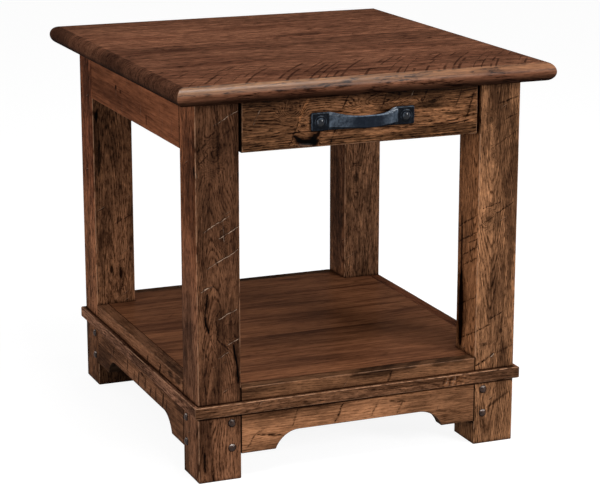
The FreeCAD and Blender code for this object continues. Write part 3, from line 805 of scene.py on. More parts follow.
def grid_levels(low, high, panel_low, panel_high, insets):
    """Positions across a board: finely spaced along a rounded outer edge, evenly spaced elsewhere."""
    start = [panel_low + inset for inset in insets] if low - panel_low < WELD else [low]
    stop = [panel_high - inset for inset in reversed(insets)] if panel_high - high < WELD else [high]
    count = max(1, int((stop[0] - start[-1]) / CUT_PITCH))
    between = [start[-1] + (stop[0] - start[-1]) * index / count for index in range(1, count)]
    return start + between + stop


def rounded_skin(shape, columns, lines, middle, radius, outline):
    """Rows of points on one face of a board, which falls to its middle along the panel's outer edges. A
    radius below 0 gives the lower face."""
    panel_low, panel_high = outline
    reach = abs(radius)
    skin = []
    for y in lines:
        row = []
        for x in columns:
            inset = min(x - panel_low.x, panel_high.x - x, y - panel_low.y, panel_high.y - y)
            fall = max(0.0, reach - inset)
            rise = math.sqrt(max(0.0, reach ** 2 - fall ** 2))
            row.append(shape.verts.new((x, y, middle + math.copysign(rise, radius))))
        skin.append(row)
    return skin


def round_edged_board(node, material, outline):
    """A board of the top with a full round along every outer edge, mitred at the corners."""
    low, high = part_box(node)
    panel_low, panel_high = outline
    middle = (low.z + high.z) / 2
    radius = (high.z - low.z) / 2
    turns = [math.radians(90) * index / ROUND_EDGE_STEPS for index in range(ROUND_EDGE_STEPS + 1)]
    insets = [radius * (1 - math.cos(turn)) for turn in turns]
    columns = grid_levels(low.x, high.x, panel_low.x, panel_high.x, insets)
    lines = grid_levels(low.y, high.y, panel_low.y, panel_high.y, insets)
    shape = bmesh.new()
    below = rounded_skin(shape, columns, lines, middle, -radius, outline)
    above = rounded_skin(shape, columns, lines, middle, radius, outline)
    for skin in (below, above):
        for near, far in zip(skin[:-1], skin[1:]):
            for index in range(len(columns) - 1):
                corners = [near[index], near[index + 1], far[index + 1], far[index]]
                add_split_quad(shape, corners if skin is above else corners[::-1])
    for row, flip in ((0, False), (-1, True)):
        for index in range(len(columns) - 1):
            wall = [below[row][index], below[row][index + 1], above[row][index + 1], above[row][index]]
            shape.faces.new(wall[::-1] if flip else wall)
    bmesh.ops.remove_doubles(shape, verts=shape.verts[:], dist=WELD)
    plane_board(shape, outline)
    finished(shape, node + "_planed", material, node, smooth=ROUND_EDGE_SMOOTH)


def add_split_quad(shape, corners):
    """Adds two triangles, parted along the diagonal that climbs more, so that a mitre stays crisp."""
    a, b, c, d = corners
    if abs(a.co.z - c.co.z) > abs(b.co.z - d.co.z):
        shape.faces.new((a, b, c))
        shape.faces.new((a, c, d))
    else:
        shape.faces.new((a, b, d))
        shape.faces.new((b, c, d))


def panel_outline(first, last):
    """The lowest and highest corners of a panel from its first and last boards."""
    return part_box(first)[0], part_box(last)[1]


def join_rings(shape, rings):
    """Adds faces between rings of points and closes both ends."""
    for low, high in zip(rings[:-1], rings[1:]):
        for index in range(len(low)):
            shape.faces.new((low[index - 1], low[index], high[index], high[index - 1]))
    shape.faces.new(list(reversed(rings[0])))
    shape.faces.new(rings[-1])


def lathe(shape, profile, segments, place, rough=0.0):
    """Adds a turned form from (radius, height) pairs and returns its rings of points. Place is a matrix,
    and rough is how far the points stray."""
    rings = []
    for radius, height in profile:
        ring = []
        for index in range(segments):
            turn = 2 * math.pi * index / segments
            point = place @ Vector((radius * math.cos(turn), radius * math.sin(turn), height))
            if rough:
                point += rough * noise.noise_vector(point * ROUGH_RATE)
            ring.append(shape.verts.new(point))
        rings.append(ring)
    join_rings(shape, rings)
    return rings


def crown_profile(radius, width, depth, turn, steps):
    """The profile of a domed head: the part of a sphere up to a turn, scaled to a width and a depth."""
    profile = [(CROWN_START * radius, 0)]
    for step in range(1, steps + 1):
        lean = turn * step / steps
        drop = (1 - math.cos(lean)) / (1 - math.cos(turn))
        profile.append((width * math.sin(lean), drop * depth))
    return profile


def islands(node):
    """The separate solids of a CAD node, each as the list of its corner points."""
    shape = welded_copy(node)
    left = set(shape.verts)
    found = []
    while left:
        todo = [left.pop()]
        group = []
        while todo:
            vertex = todo.pop()
            group.append(vertex.co.copy())
            for edge in vertex.link_edges:
                other = edge.other_vert(vertex)
                if other in left:
                    left.discard(other)
                    todo.append(other)
        found.append(group)
    shape.free()
    return found


def pin_places(node, crowns_outside=False):
    """Each pin of a node: its crown, its direction into the wood, its length, and the radii of its head
    and its tip. The crown is at the wider end, or at the end away from the middle of the table."""
    pins = []
    for points in islands(node):
        low = Vector([min(place) for place in zip(*points)])
        high = Vector([max(place) for place in zip(*points)])
        size = high - low
        axis = max(range(3), key=lambda k: size[k])
        middle = (low + high) / 2

        def reach(point):
            away = point - middle
            away[axis] = 0
            return away.length

        widest = max(reach(p) for p in points)
        heads = [p[axis] for p in points if reach(p) > 0.98 * widest]
        at_low = sum(heads) / len(heads) < middle[axis]
        if crowns_outside:
            at_low = middle[axis] < 0
        direction = Matrix.Identity(3)[axis] * (1 if at_low else -1)
        crown = middle - direction * size[axis] / 2
        tip = middle + direction * size[axis] / 2
        tips = [p for p in points if (p - tip).dot(direction) > -WELD * 10]
        pins.append((crown, direction, size[axis], widest, max(reach(p) for p in tips)))
    return pins


def turned_to(crown, direction):
    """The matrix that carries a form drawn upward from the origin to a crown, aimed along a direction."""
    return Matrix.Translation(crown) @ Z_AXIS.rotation_difference(direction).to_matrix().to_4x4()


# Pieces of wood

TOP_DARK = (0.096, 0.037, 0.020)
TOP_LIGHT = (0.186, 0.079, 0.0435)
FRAME_DARK = (0.062, 0.0268, 0.0128)
FRAME_LIGHT = (0.255, 0.116, 0.056)
SIDE_DARK = (0.130, 0.045, 0.021)
SIDE_LIGHT = (0.280, 0.099, 0.046)
SHELF_DARK = (0.106, 0.040, 0.019)
SHELF_LIGHT = (0.250, 0.101, 0.0465)
DRAWER_DARK = (0.084, 0.038, 0.0165)
DRAWER_LIGHT = (0.370, 0.168, 0.078)
INNER_DARK = (0.085, 0.042, 0.02)
INNER_LIGHT = (0.17, 0.088, 0.043)
BOX_DARK = (0.50, 0.33, 0.18)
BOX_LIGHT = (0.66, 0.47, 0.29)


def scaled(tone, gain):
    """A tone made darker or lighter, by one factor or by one each for red, green and blue."""
    gains = gain if isinstance(gain, tuple) else (gain, gain, gain)
    return tuple(part * factor for part, factor in zip(tone, gains))


def corner_of(node):
    """Where a face's own directions start: the piece's front left corner on the floor."""
    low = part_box(node)[0]
    return low.x - low.y, 0


def end_of(node, grain):
    """Where the directions start on a rail or an apron: at the front left leg, level with the floor."""
    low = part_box(node)[0]
    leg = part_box("leg_front_left")[1]
    return (leg.x - low.y if grain == "X" else low.x - leg.y), 0


def seam_of(grain):
    """How far from the middle of the table a rail or an apron meets the legs."""
    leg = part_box("leg_front_left")[1]
    return abs(leg.x if grain == "X" else leg.y)


def corners_of_band():
    """The heights just under and just above the band, where a painted shadow lies on the pieces behind it.
    """
    low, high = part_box("band_front")
    return [(low.z - 4.2 * MM, low.z), (high.z, high.z + 1.4 * MM)]


def under_top():
    """The heights just under the top, where painted shade lies on the legs and the drawer front."""
    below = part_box("top_board_1")[0].z
    return [(below - 5 * MM, below + MM)]


# Tables of marks, in millimetres. A knot or a patch has a place, half sizes, and a darkness or a factor, and
# a scratch or a crack has both ends, a width and a tone. Places are across and up a face, with heights from
# the floor: on legs and bands from the front left corner, and on rails and aprons from the front left leg.
# On the top and the shelf they are X and Y from the table's middle.

PANEL_STYLE = {"lean": 0.05, "ring": 8, "lip": 0, "saw_wander": 0.005, "flat": True, "coat": 0.025,
               "worn": 0}

# Each board of the top, from the front: gain of its tones, tone of its ends, patches and knots
TOP_BOARDS = [
    (1.0, 0.55, [(200, -250, 90, 50, 0.82), (-180, -270, 70, 30, 1.12)], ()),
    (1.03, 0.6, [(-60, -120, 90, 30, 0.85), (120, -110, 80, 25, 1.1)], ()),
    (0.95, 0.52, [(-190, 10, 60, 30, 0.8), (60, -10, 70, 20, 0.85), (200, 0, 50, 30, 0.82)],
     [(185, -28, 16, 6, 0.5), (-175, 0, 14, 8, 0.3)]),
    (1.2, 0.68, [(-200, 120, 80, 60, 1.15), (160, 130, 80, 40, 0.88)],
     [(55, 75, 30, 13, 0.5), (20, 73, 20, 8, 0.35)]),
    (1.08, 0.45, [(120, 250, 120, 30, 0.88), (-150, 250, 90, 30, 1.06)], [(-35, 236, 8, 6, 0.3)]),
]
SHELF_GAINS = (0.88, 1.0, 1.06, 1.08, 0.95)
# The second patch is a painted reflection of a leg, darker on the shelf
SHELF_PATCHES = [
    (20, -75, 100, 50, 0.75), (90, 60, 35, 80, 0.88), (45, 68, 70, 13, 1.15), (130, -150, 100, 45, 1.15),
    (-195, -80, 35, 30, 1.2), (-200, 60, 40, 60, 1.1), (-60, -190, 80, 30, 0.85),
]


def make_top():
    """Five boards. The fourth is lighter and has a knot, and the front one shows saw marks."""
    outline = panel_outline("top_board_1", "top_board_5")
    for number, (gain, end_tone, patches, knots) in enumerate(TOP_BOARDS, 1):
        node = "top_board_" + str(number)
        low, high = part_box(node)
        pith = ((low.y + high.y) / 2 + 0.012 * (-1) ** number, low.z + 0.012)
        spread, depth = (0.1, 0.75) if number == 1 else (-0.07, 0.5)
        material = wood(
            node, "X", 3.7 * number, scaled(TOP_DARK, gain), scaled(TOP_LIGHT, gain), pith=pith,
            sway=0.07, lines=0.3, pores=1.1, mottle=0.0, chatter=0.1, flecks=1.0, knots=knots,
            patches=patches, saw=(0.7, 11.5, 2.6, spread), saw_rate=11, cut_depth=depth, edge_coat=0.75,
            gloss_spread=0.42, end_tone=end_tone, **PANEL_STYLE,
        )
        round_edged_board(node, material, outline)


def make_shelf():
    outline = panel_outline("shelf_board_1", "shelf_board_5")
    for number, gain in enumerate(SHELF_GAINS, 1):
        node = "shelf_board_" + str(number)
        low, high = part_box(node)
        pith = ((low.y + high.y) / 2 - 0.01 * (-1) ** number, low.z - 0.01)
        material = wood(
            node, "X", 2.9 * number + 31, scaled(SHELF_DARK, gain), scaled(SHELF_LIGHT, gain), pith=pith,
            sway=0.06, lines=0.25, pores=0.4, mottle=0.2, chatter=0.15, flecks=0.15,
            saw=(0.7, 21, 2.4, -0.05), saw_rate=14, cut_depth=0.25, patches=SHELF_PATCHES, **PANEL_STYLE,
        )
        panel_board(node, material, outline)


FRONT_LEFT_SCRATCHES = [
    (0, 441, 2, 434, 2.8, 1.0), (-7, 446, -2, 434, 3.0, -0.9),
    (27, 503, 63, 522, 1.2, 0.7), (10, 358, 48, 378, 1.2, 0.8), (33, 347, 63, 363, 1.3, 0.8),
    (15, 306, 63, 331, 1.2, 0.7), (6, 275, 22, 282, 1.7, 1.0), (31, 234, 58, 246, 1.2, 0.8),
    (45, 197, 62, 205, 1.2, 0.8), (30, 179, 45, 187, 1.1, 0.6), (38, 372, 40, 340, 1.1, 0.4),
    (16, 271, 11, 240, 2.8, -0.9), (11, 240, 16, 217, 3.4, -1.0), (8, 195, 16, 178, 2.4, -0.8),
    (52, 196, 58, 163, 3.6, -1.0), (58, 163, 59, 140, 3.2, -1.0), (28, 232, 30, 205, 2.2, -0.8),
    (30, 205, 45, 190, 2.0, -0.8), (32, 538, 34, 410, 2.2, -0.5), (8, 44, 9, 18, 4.0, -0.8),
    (4, 470, 22, 486, 2.2, -0.6), (3, 450, 20, 464, 1.8, -0.6), (40, 488, 56, 500, 1.8, -0.5),
    (12, 168, 9, 150, 1.8, -0.7), (9, 150, 12, 128, 2.0, -0.7),
]
FRONT_LEFT_KNOTS = [
    (38, 353, 5, 9, 0.6), (38, 214, 7, 13, 0.35), (-4, 443, 3, 7, 0.8), (24, 462, 8, 12, 0.35),
]
FRONT_RIGHT_SCRATCHES = [
    (28, 503, 60, 512, 1.6, -0.8), (38, 479, 62, 489, 1.5, -0.7), (18, 439, 63, 465, 1.3, -0.5),
    (6, 353, 36, 361, 1.5, -0.8), (30, 345, 56, 358, 1.6, -0.8), (3, 328, 25, 340, 1.5, -0.6),
    (22, 188, 43, 198, 1.6, -0.9), (0, 172, 24, 181, 1.6, -0.9), (0, 119, 30, 135, 2.2, -1.0),
    (30, 135, 61, 145, 2.4, -0.4), (25, 131, 31, 135, 2.6, 0.8), (22, 54, 55, 74, 3.4, -0.45),
    (-60, 315, 0, 345, 1.6, -0.8), (-60, 292, 0, 320, 1.7, -0.9), (-30, 297, 0, 310, 1.4, -0.7),
    (-45, 276, 0, 298, 1.6, -0.8), (-45, 260, 0, 282, 1.6, -0.7), (-60, 196, 0, 224, 1.5, -0.7),
    (-55, 146, 0, 172, 1.6, -0.8), (-50, 338, -48, 240, 4.0, -0.9), (-48, 250, -48, 140, 17.0, -1.0),
    # A painted shadow under the rail, on the leg's inner face
    (-62, 33, -2, 33, 6.0, -0.9),
]
FRONT_RIGHT_KNOTS = [
    (15, 151, 7, 3, 0.55), (41, 169, 3, 4, 0.7), (17, 480, 4, 6, 0.5), (18, 337, 5, 6, 0.6),
    (22, 430, 3, 6, 0.3),
]

# Each leg: gains of its dark and light tone, and its look, with side gains that paint light and shade
LEGS = {
    "front_left": ((0.83, 0.82, 0.87), (0.80, 0.79, 0.84), {
        "lean": 0.085, "sway": 0.06, "mottle": 0.65, "flecks": 0.4,
        "side_gains": ((1.72, 1.4, 1.24), (1.85, 1.84, 1.95)),
        "patches": [
            (32, 430, 60, 115, 0.62), (36, 280, 32, 60, 0.85), (32, 30, 70, 75, 1.4),
            (-45, 190, 40, 90, 0.65),
        ],
        "knots": FRONT_LEFT_KNOTS,
        "scratches": FRONT_LEFT_SCRATCHES,
    }),
    "front_right": ((1.44, 1.52, 1.54), (1.52, 1.6, 1.6), {
        "lean": -0.12, "sway": 0.012, "mottle": 0.3, "flecks": 0.65,
        "side_gains": ((1.06, 0.96, 0.88), (1.06, 0.96, 0.88)),
        "patches": [(45, 480, 25, 70, 0.85), (20, 330, 16, 16, 0.75), (31, 30, 60, 55, 0.9)],
        "knots": FRONT_RIGHT_KNOTS,
        "scratches": FRONT_RIGHT_SCRATCHES,
    }),
    "back_left": ((0.95, 0.95, 0.98), (0.95, 0.95, 0.98), {
        "lean": 0.07, "sway": 0.03, "mottle": 0.4, "flecks": 0.95,
        "side_gains": ((1.32, 0.96, 0.91), (1.95, 1.8, 1.8)),
        "patches": [(35, 10, 60, 60, 0.42)],
        "knots": [(25, 188, 2.5, 7, 0.95), (40, 181, 3, 11, 0.95), (6, 434, 3, 6, 0.95)],
        "scratches": [
            (10, 395, 8, 340, 4.0, -0.7), (31, 261, 62, 275, 1.6, -0.6), (6, 425, 8, 445, 2.6, -0.9),
        ],
    }),
    "back_right": ((0.75, 0.8, 0.85), (0.78, 0.82, 0.89), {
        "lean": -0.09, "sway": 0.03, "mottle": 0.4, "flecks": 0.95,
        "side_gains": ((1.14, 1.02, 0.98), (1.14, 1.02, 0.98)),
        "patches": [(35, 10, 60, 60, 0.5), (32, 470, 60, 70, 0.75)],
        "knots": [(20, 300, 5, 9, 0.6)],
    }),
}


def make_legs():
    """The front left leg is darker and more cracked, and the front right one has a long V figure."""
    rail, band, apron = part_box("lower_rail_front"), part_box("band_front"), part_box("apron_left")
    joined = [(rail[0].z, band[0].z), (band[1].z, rail[1].z), (apron[0].z, apron[1].z)]
    for index, (name, (dark_gain, light_gain, look)) in enumerate(LEGS.items()):
        node = "leg_" + name
        low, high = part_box(node)
        pith = (low.x + 0.35 * (high.x - low.x), low.y + 10 * MM)
        material = wood(
            node, "Z", 5.3 * index + 60, scaled(FRAME_DARK, dark_gain), scaled(FRAME_LIGHT, light_gain),
            pith=pith, ring=2.7, lines=0.75, pores=0.9, saw=(0.5, 23, 1.0, -0.03), origin=corner_of(node),
            coat=0.025, short=2.0, joined=joined, glaze_lines=corners_of_band() + under_top(), worn=0.75,
            **look,
        )
        worn_piece(node, material)


APRON_LEFT_KNOTS = [(-284, 500, 5, 4, 0.9), (-262, 497, 5, 3, 0.7), (-142, 477, 3, 9, 0.6)]


def make_aprons():
    for index, node in enumerate(["apron_left", "apron_right", "apron_back"]):
        grain = "X" if node == "apron_back" else "Y"
        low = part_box(node)[0]
        material = wood(
            node, grain, 4.1 * index + 90, SIDE_DARK, SIDE_LIGHT, pith=(low.x - 0.03, 0.51), lean=0.03,
            ring=6, sway=0.03, lines=0.2, pores=0.3, mottle=0.2, chatter=0.2, saw=(0.08, 6, 1.4, 0.02),
            saw_rate=20, cut_depth=0.35, lip=0.1, knots=APRON_LEFT_KNOTS if node == "apron_left" else (),
            origin=end_of(node, grain), coat=0.015, seam=seam_of(grain),
        )
        worn_piece(node, material)


# Each side: gain of the tones of its rail and its band, then gains of the band's own dark and light tone
RAIL_SIDES = {
    "front": ((1.33, 1.34, 1.34), 1, (0.68, 0.70, 0.76)),
    "back": (0.6, 1, (0.85, 0.88, 0.93)),
    "left": ((1.1, 1.08, 1.14), (1.25, 1.3, 1.4), (1.4, 1.5, 1.75)),
    "right": (0.75, 1, (0.85, 0.88, 0.93)),
}
RAIL_SCRATCHES = {
    "front": [
        (24, 61, 64, 55, 2.4, -0.9), (7, 42, 22, 63, 1.8, -0.6), (22, 63, 34, 68, 1.6, -0.5),
        (76, 66, 84, 90, 1.8, -0.5), (141, 64, 154, 90, 2.0, -0.9), (198, 66, 208, 86, 2.0, -0.5),
        (226, 84, 250, 81, 2.2, -0.8), (246, 80, 238, 64, 1.8, -0.5), (164, 128, 226, 131, 3.5, -0.35),
        (222, 113, 229, 128, 2.2, -0.7), (300, 60, 340, 52, 2.0, -0.4),
    ],
    "left": [
        (-205, 62, -199, 84, 3.0, -0.9), (-190, 86, -180, 85, 3.0, -0.8), (-173, 64, -169, 84, 2.6, -0.8),
        (-148, 64, -143, 79, 2.8, -0.8), (-122, 60, -121, 82, 2.6, -0.8), (-92, 64, -85, 85, 3.4, -1.0),
        (-76, 62, -70, 82, 2.6, -0.7), (-104, 113, -96, 127, 3.2, -0.9), (-260, 66, -254, 88, 2.6, -0.7),
        (-160, 113, -154, 124, 2.6, -0.7), (-330, 70, -322, 90, 2.8, -0.6), (-226, 64, -222, 80, 2.6, -0.6),
    ],
}
RAIL_PATCHES = {
    "front": [
        (180, 123, 260, 11, 0.52), (280, 121, 60, 6, 1.15), (196, 128, 42, 6, 0.42),
        (330, 60, 30, 22, 0.75), (110, 72, 150, 30, 1.25), (290, 84, 90, 7, 0.75),
        (305, 130, 14, 4, 0.45), (332, 131, 12, 3, 0.5), (256, 131, 12, 3, 0.5), (40, 128, 40, 6, 0.7),
    ],
    "left": [
        (-52, 125, 13, 6, 0.3), (-22, 125, 13, 6, 0.3), (-300, 80, 90, 30, 1.1), (-50, 50, 50, 30, 0.75),
    ],
}
BAND_SCRATCHES = [
    (150, 98, 190, 101, 2.0, -0.5), (260, 107, 330, 104, 2.0, -0.5), (373, 98, 376, 110, 2.0, 1.2),
    (381, 97, 385, 111, 4.0, 2.0), (393, 97, 397, 111, 4.6, 2.0), (401, 97, 405, 111, 2.8, 1.8),
    (409, 98, 412, 111, 3.6, 1.8), (416, 98, 419, 110, 2.6, 1.3), (424, 98, 427, 110, 3.4, 1.2),
    (377, 98, 380, 110, 1.8, -0.5), (387, 98, 391, 110, 2.4, -0.6), (398, 98, 401, 110, 1.6, -0.5),
    (381, 98, 385, 110, 3.4, 0.3), (393, 98, 397, 110, 4.0, 0.3), (409, 98, 412, 110, 3.0, 0.2),
]
# The second patch is painted shade on the band's right end
BAND_PATCHES = [(345, 104, 26, 10, 0.8), (480, 104, 50, 14, 0.6), (120, 104, 60, 8, 1.1)]


def make_rails_and_bands():
    for index, (side, (gain, band_dark_gain, band_light_gain)) in enumerate(RAIL_SIDES.items()):
        grain = "X" if side in ("front", "back") else "Y"
        dark, light = (SIDE_DARK, SIDE_LIGHT) if side == "right" else (FRAME_DARK, FRAME_LIGHT)
        dark, light = scaled(dark, gain), scaled(light, gain)
        make_lower_rail(side, grain, 3.3 * index + 110, dark, scaled(light, 1.1))
        dark, light = scaled(dark, band_dark_gain), scaled(light, band_light_gain)
        make_band(side, grain, 2.7 * index + 140, dark, light)


def make_lower_rail(side, grain, seed, dark, light):
    node = "lower_rail_" + side
    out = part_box(node)[0][1 if grain == "X" else 0]
    material = wood(
        node, grain, seed, dark, light, pith=(out, 0.066), lean=0.05, ring=3.4, sway=0.045, lines=0.4,
        pores=0.5, mottle=0.15, scratches=RAIL_SCRATCHES.get(side, ()), patches=RAIL_PATCHES.get(side, ()),
        saw=(0.5, 27, 1.1, -0.02), origin=end_of(node, grain), coat=0.02, chatter=0.05, short=1.8,
        flecks=0.35, under_tone=0.25, seam=seam_of(grain), top_tone=0.5 if side == "front" else 0.72,
        glaze_lines=corners_of_band(),
    )
    worn_piece(node, material)


def make_band(side, grain, seed, dark, light):
    node = "band_" + side
    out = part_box("lower_rail_" + side)[0][1 if grain == "X" else 0]
    material = wood(
        node, grain, seed, dark, light, pith=(out - 0.02, 0.09), lean=0.05, ring=3, sway=0.05, lines=0.6,
        pores=0.8, mottle=0.15 if side == "left" else 0.4, saw=(0.6, 31, 1.1, -0.02),
        scratches=BAND_SCRATCHES if side == "front" else (), origin=corner_of(node), coat=0.02,
        patches=BAND_PATCHES if side == "front" else (), short=1.8, flecks=0.7, worn=0.7,
    )
    worn_piece(node, material)


# Marks of the drawer front in millimetres from its middle, heights above the floor
DRAWER_SCRATCHES = [
    (-80, 531, -94, 500, 2.4, 1.9), (-94, 500, -108, 467, 1.6, -0.8), (-21, 531, -30, 512, 1.8, -1.0),
    (-40, 486, -48, 466, 2.0, -1.0), (36, 529, 28, 508, 1.7, -0.9), (77, 531, 71, 516, 1.6, 0.4),
    (98, 531, 90, 512, 1.7, -0.8), (151, 529, 142, 504, 1.5, -0.6), (172, 526, 156, 480, 1.8, -0.9),
    (60, 480, 120, 492, 1.5, -0.5), (-150, 520, -160, 500, 1.4, 0.4), (-175, 527, -128, 523, 2.2, -0.7),
    (-101, 480, -88, 470, 6.0, -1.0), (-96, 473, -70, 467, 9.0, -1.0), (-78, 468, -64, 484, 8.0, -1.0),
    (-86, 468, -68, 470, 9.0, -1.0),
]
DRAWER_KNOTS = [
    (-104, 512, 9, 7, 0.1), (-82, 470, 8, 3, 0.8), (105, 514, 9, 3, 0.75),
    (-88, 493, 5, 3, 0.5), (24, 516, 18, 6, 0.15),
]
DRAWER_PATCHES = [
    (-140, 505, 60, 40, 0.47), (-80, 520, 60, 16, 0.75), (120, 490, 70, 28, 1.25), (40, 475, 60, 14, 1.1),
    (105, 513, 22, 9, 0.5), (60, 527, 140, 5, 0.75),
]


def make_drawer_front():
    """Golden-brown board with swirling grain, a knot and a dark broken pit by the pull's left foot."""
    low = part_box("drawer_front")[0]
    # The long corner reach paints shade under the pull and under the top's overhang
    material = wood(
        "drawer_front", "X", 201, DRAWER_DARK, DRAWER_LIGHT, pith=(low.y + 0.004, 0.492), lean=0.035,
        ring=3.4, sway=0.05, lines=1.0, pores=1.3, mottle=0.3, knots=DRAWER_KNOTS,
        scratches=DRAWER_SCRATCHES, patches=DRAWER_PATCHES, saw=(0.45, 33, 0.9, -0.05),
        origin=(-low.y, 0), reach=20, short=1.5, flecks=1.0, glaze_lines=under_top(),
    )
    pits = [
        (Vector((-0.083, low.y, 0.4695)), Vector((0.015, 0.02, 0.0045)), 1.6 * MM),
        (Vector((-0.068, low.y, 0.477)), Vector((0.005, 0.02, 0.006)), 1.2 * MM),
    ]
    worn_piece("drawer_front", material, arris=0.3 * MM, pitch=3 * MM, pits=pits)


PEG_HEAD = 3.1 * MM
PEG_TURN = math.radians(78)
ROUND_SMOOTH = math.radians(60)


def peg_material():
    """Dark, almost black wood with a painted highlight on upper slopes, and painted shade where it meets the
    wood.
    """
    material, web, shader = new_material("peg_wood")
    place, facing = web.coordinates()
    upper = web.split(facing)[2]
    grain = web.noise(place, (260, 260, 260), 3.0)
    colour = web.mix(web.step(grain, 0.35, 0.7), (0.02, 0.010, 0.007), (0.05, 0.025, 0.017))
    # Painted highlight on the heads' upper slopes
    rubbed = web.step(upper, 0.5, 0.72) * web.step(grain, 0.38, 0.56, 0.2, 1.0)
    colour = web.mix(rubbed, colour, (0.52, 0.43, 0.38))
    # Painted shade where the heads meet the wood
    colour = web.shade(colour, web.step(web.corners(4 * MM), 0.95, 0.6), 0.25)
    bump = web.bump(grain, 0.4, 0.4 * MM)
    connect(web, shader, Base_Color=colour, Normal=bump, Roughness=0.4, Specular_IOR_Level=0.0)
    connect(web, shader, Coat_Weight=0.3, Coat_Roughness=0.1)
    return material


def make_pegs():
    """Sixteen turned pegs with domed heads, each a little uneven."""
    shape = bmesh.new()
    for crown, direction, length, radius, shank in pin_places("rail_pegs", crowns_outside=True):
        width = 0.99 * radius / math.sin(PEG_TURN)
        profile = crown_profile(radius, width, 0.82 * PEG_HEAD, PEG_TURN, steps=7)
        profile += [(radius, PEG_HEAD), (shank, PEG_HEAD + MM), (shank, length)]
        lathe(shape, profile, 28, turned_to(crown, direction), rough=0.16 * MM)
    finished(shape, "rail_pegs_turned", peg_material(), "rail_pegs", smooth=ROUND_SMOOTH)


# Drawer box, slides and screws

BOX_BOARDS = [
    "drawer_side_left", "drawer_side_right", "drawer_box_front", "drawer_box_back", "drawer_bottom",
]
INNER_BOARDS = [
    "top_rail_front", "top_buttons", "slide_block_left", "slide_block_right", "shelf_cleat_front",
    "shelf_cleat_back", "shelf_cleat_left", "shelf_cleat_right",
]


def make_inner_wood():
    """The drawer box of pale wood, and the flat rail, buttons, blocks and cleats of darker wood."""
    for index, node in enumerate(BOX_BOARDS):
        material = wood(
            node, inner_grain(node), 6.1 * index + 230, BOX_DARK, BOX_LIGHT, pith=(0.3, 0.4), lines=0.2,
            pores=0.12, mottle=0.15, finish=0.4, glaze=0.3, worn=0,
        )
        worn_piece(node, material, arris=BOX_ARRIS, pitch=30 * MM)
    for index, node in enumerate(INNER_BOARDS):
        material = wood(
            node, inner_grain(node), 7.3 * index + 300, INNER_DARK, INNER_LIGHT, pith=(0.3, 0.45),
            lines=0.5, pores=0.7, finish=0.6,
        )
        worn_piece(node, material, pitch=25 * MM)


def inner_grain(node):
    """Pieces at the left and right sides run from front to back."""
    return "Y" if node.endswith(("left", "right")) else "X"


def zinc_material():
    material, web, shader = new_material("zinc_steel")
    place = web.coordinates()[0]
    brushed = web.noise(place, (1600, 60, 1600))
    cloudy = web.noise(place, (90, 90, 90), 3.0)
    colour = web.mix(cloudy, (0.42, 0.43, 0.45), (0.66, 0.67, 0.69))
    roughness = web.step(brushed, 0.3, 0.7, 0.26, 0.42)
    bump = web.bump(brushed, 0.15, 0.1 * MM)
    connect(web, shader, Base_Color=colour, Roughness=roughness, Normal=bump, Metallic=1.0)
    return material


SCREW_STEPS = 8
SCREW_SEGMENTS = 32
THREAD_PITCH = 0.9 * MM


def screw_profile(length, head_radius, head_height, shank_radius):
    """The profile of a pan head, then a shank with a groove in each turn of its thread."""
    profile = []
    for step in range(1, SCREW_STEPS + 1):
        share = step / SCREW_STEPS
        profile.append((head_radius * share, head_height * 0.5 * share ** 3))
    profile += [(head_radius, head_height), (shank_radius, head_height)]
    shank = length - head_height
    turns = int(shank / THREAD_PITCH)
    for turn in range(turns):
        start = head_height + shank * turn / turns
        profile.append((shank_radius, start))
        profile.append((0.82 * shank_radius, start + 0.5 * shank / turns))
    profile.append((0.3 * shank_radius, length))
    return profile


def pan_screw(shape, crown, direction, length, head_radius, shank_radius):
    """A pan-head screw with a cross recess and a threaded shank."""
    head_height = 0.55 * head_radius
    slot_half = 0.14 * head_radius
    slot_reach = 0.6 * head_radius
    place = turned_to(crown, direction)
    inverse = place.inverted()
    profile = screw_profile(length, head_radius, head_height, shank_radius)
    rings = lathe(shape, profile, SCREW_SEGMENTS, place)
    for ring in rings[:SCREW_STEPS]:
        for vertex in ring:
            local = inverse @ vertex.co
            near = min(abs(local.x), abs(local.y))
            if near < slot_half and local.to_2d().length < slot_reach:
                vertex.co += direction * head_height * 0.5


def make_steel_parts():
    """Screws, and slides that keep the CAD's shape and take a better material."""
    zinc = zinc_material()
    for node in ("top_screws", "slide_fixed_screws", "slide_drawer_screws", "drawer_front_screws"):
        shape = bmesh.new()
        for pin in pin_places(node):
            pan_screw(shape, *pin)
        finished(shape, node + "_cut", zinc, node)
    for member in ("slide_fixed_", "slide_middle_", "slide_drawer_"):
        for side in ("left", "right"):
            frame["nodes"][member + side].material_slots[0].material = zinc


# Forged pull

PULL_STRAP = 4.8 * MM
PULL_FOOT = 25.4 * MM
PULL_BEND_RADIUS = 7 * MM
PULL_WAIST_HALF = 8.75 * MM
PULL_WAIST_LEVEL = 15 * MM
PULL_CORNER = 2.4 * MM
PULL_CORNER_STEPS = 5
PULL_STATIONS = 49
PULL_OVERLAP = 1.5 * MM
PULL_VOXEL = 0.38 * MM
PULL_SCREW_HEAD = 3.6 * MM
DENT_RATE = 150
DENT_DEPTH = 0.22 * MM


